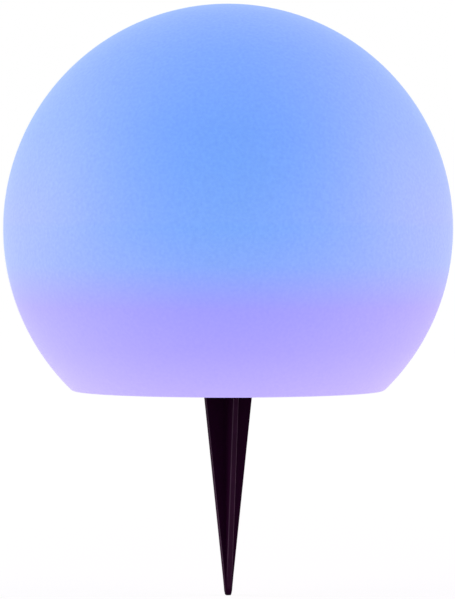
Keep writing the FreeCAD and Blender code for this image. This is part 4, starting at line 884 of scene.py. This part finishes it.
studio = {
    "floorHeight": -137.2 * mm, "floorSide": 60.0, "paper": "#f4f4f4", "worldStrength": 0.31,
    # the share of its own light in the paper that the camera sees, and how strong that is near
    # the object and far from it
    "floorGlow": 0.85, "floorWhite": (1.04, 1.13), "floorReach": (0.3, 2.0),
    "sideLamp": {"power": 25.0, "side": 1.4, "distance": 1.6, "height": 0.65,
                 "left": "#fff5f8", "right": "#ffe2f1"},
    "topLamp": {"power": 1.5, "side": 1.6, "height": 1.8, "colour": "#ffffff"},
}


def seesBackground(tree):
    # 1 for rays that show the background: from the camera, off a mirror or through glass
    path = addNode(tree, "LightPath")
    both = addNode(tree, "Math", {0: path.outputs["Is Camera Ray"],
                                  1: path.outputs["Is Glossy Ray"]}, operation="MAXIMUM")
    return addNode(tree, "Math", {0: both, 1: path.outputs["Is Transmission Ray"]},
                   operation="MAXIMUM")


def makeWorld():
    # even soft light, in front of a white background
    world = bpy.data.worlds.new("studio")
    bpy.context.scene.world = world
    world.use_nodes = True
    tree = world.node_tree
    strength = addNode(tree, "MapRange", {"Value": seesBackground(tree),
                                          "To Min": studio["worldStrength"]})
    feed(tree, tree.nodes["Background"], {"Color": "#ffffff", "Strength": strength})


def makeFloor():
    # White paper: the object's shadow shows faintly on it. It gives out a little more light
    # away from the lamps, so that it meets the white behind, and is clear from underneath.
    half, z = studio["floorSide"] / 2, studio["floorHeight"]
    mesh = bpy.data.meshes.new("floor")
    mesh.from_pydata([(-half, -half, z), (half, -half, z), (half, half, z), (-half, half, z)],
                     [], [(0, 1, 2, 3)])
    floor = bpy.data.objects.new("floor", mesh)
    bpy.context.scene.collection.objects.link(floor)
    material = bpy.data.materials.new("floorPaper")
    material.use_nodes = True
    tree = material.node_tree
    tree.nodes.clear()
    paper = addNode(tree, "BsdfDiffuse", {"Color": studio["paper"]})
    place = addNode(tree, "TexCoord").outputs["Object"]
    away = addNode(tree, "VectorMath", {0: place}, operation="LENGTH").outputs["Value"]
    near, far = studio["floorReach"]
    low, high = studio["floorWhite"]
    glow = addNode(tree, "MapRange", {"Value": away, "From Min": near, "From Max": far,
                                      "To Min": low, "To Max": high})
    white = addNode(tree, "Emission", {"Color": "#ffffff", "Strength": glow})
    share = addNode(tree, "Math", {0: seesBackground(tree), 1: studio["floorGlow"]},
                    operation="MULTIPLY")
    mixed = addNode(tree, "MixShader", {0: share, 1: paper, 2: white})
    under = addNode(tree, "NewGeometry").outputs["Backfacing"]
    mixed = addNode(tree, "MixShader", {0: under, 1: mixed, 2: addNode(tree, "BsdfTransparent")})
    addNode(tree, "OutputMaterial", {"Surface": mixed})
    mesh.materials.append(material)


def makeLamp(name, look, colour, place, turn):
    data = bpy.data.lights.new(name, "AREA")
    data.energy = look["power"]
    data.color = linear(colour)[:3]
    data.size = look["side"]
    lamp = bpy.data.objects.new(name, data)
    bpy.context.scene.collection.objects.link(lamp)
    lamp.location = place
    lamp.rotation_euler = turn


def makeLamps():
    side, top = studio["sideLamp"], studio["topLamp"]
    lean = math.atan2(side["distance"], side["height"] - globe["centre"])
    for name, way in (("left", -1), ("right", 1)):
        makeLamp(name + "Lamp", side, side[name], (way * side["distance"], 0, side["height"]),
                 (0, way * lean, 0))
    makeLamp("topLamp", top, top["colour"], (0, 0, top["height"]), (0, 0, 0))


makeCamera()
makeWorld()
makeFloor()
makeLamps()
print("stage: camera, floor and lamps")
makeGlobe()
makeSpike()
makeWindow()
dressNodes()
bpy.context.scene.view_settings.view_transform = "Standard"
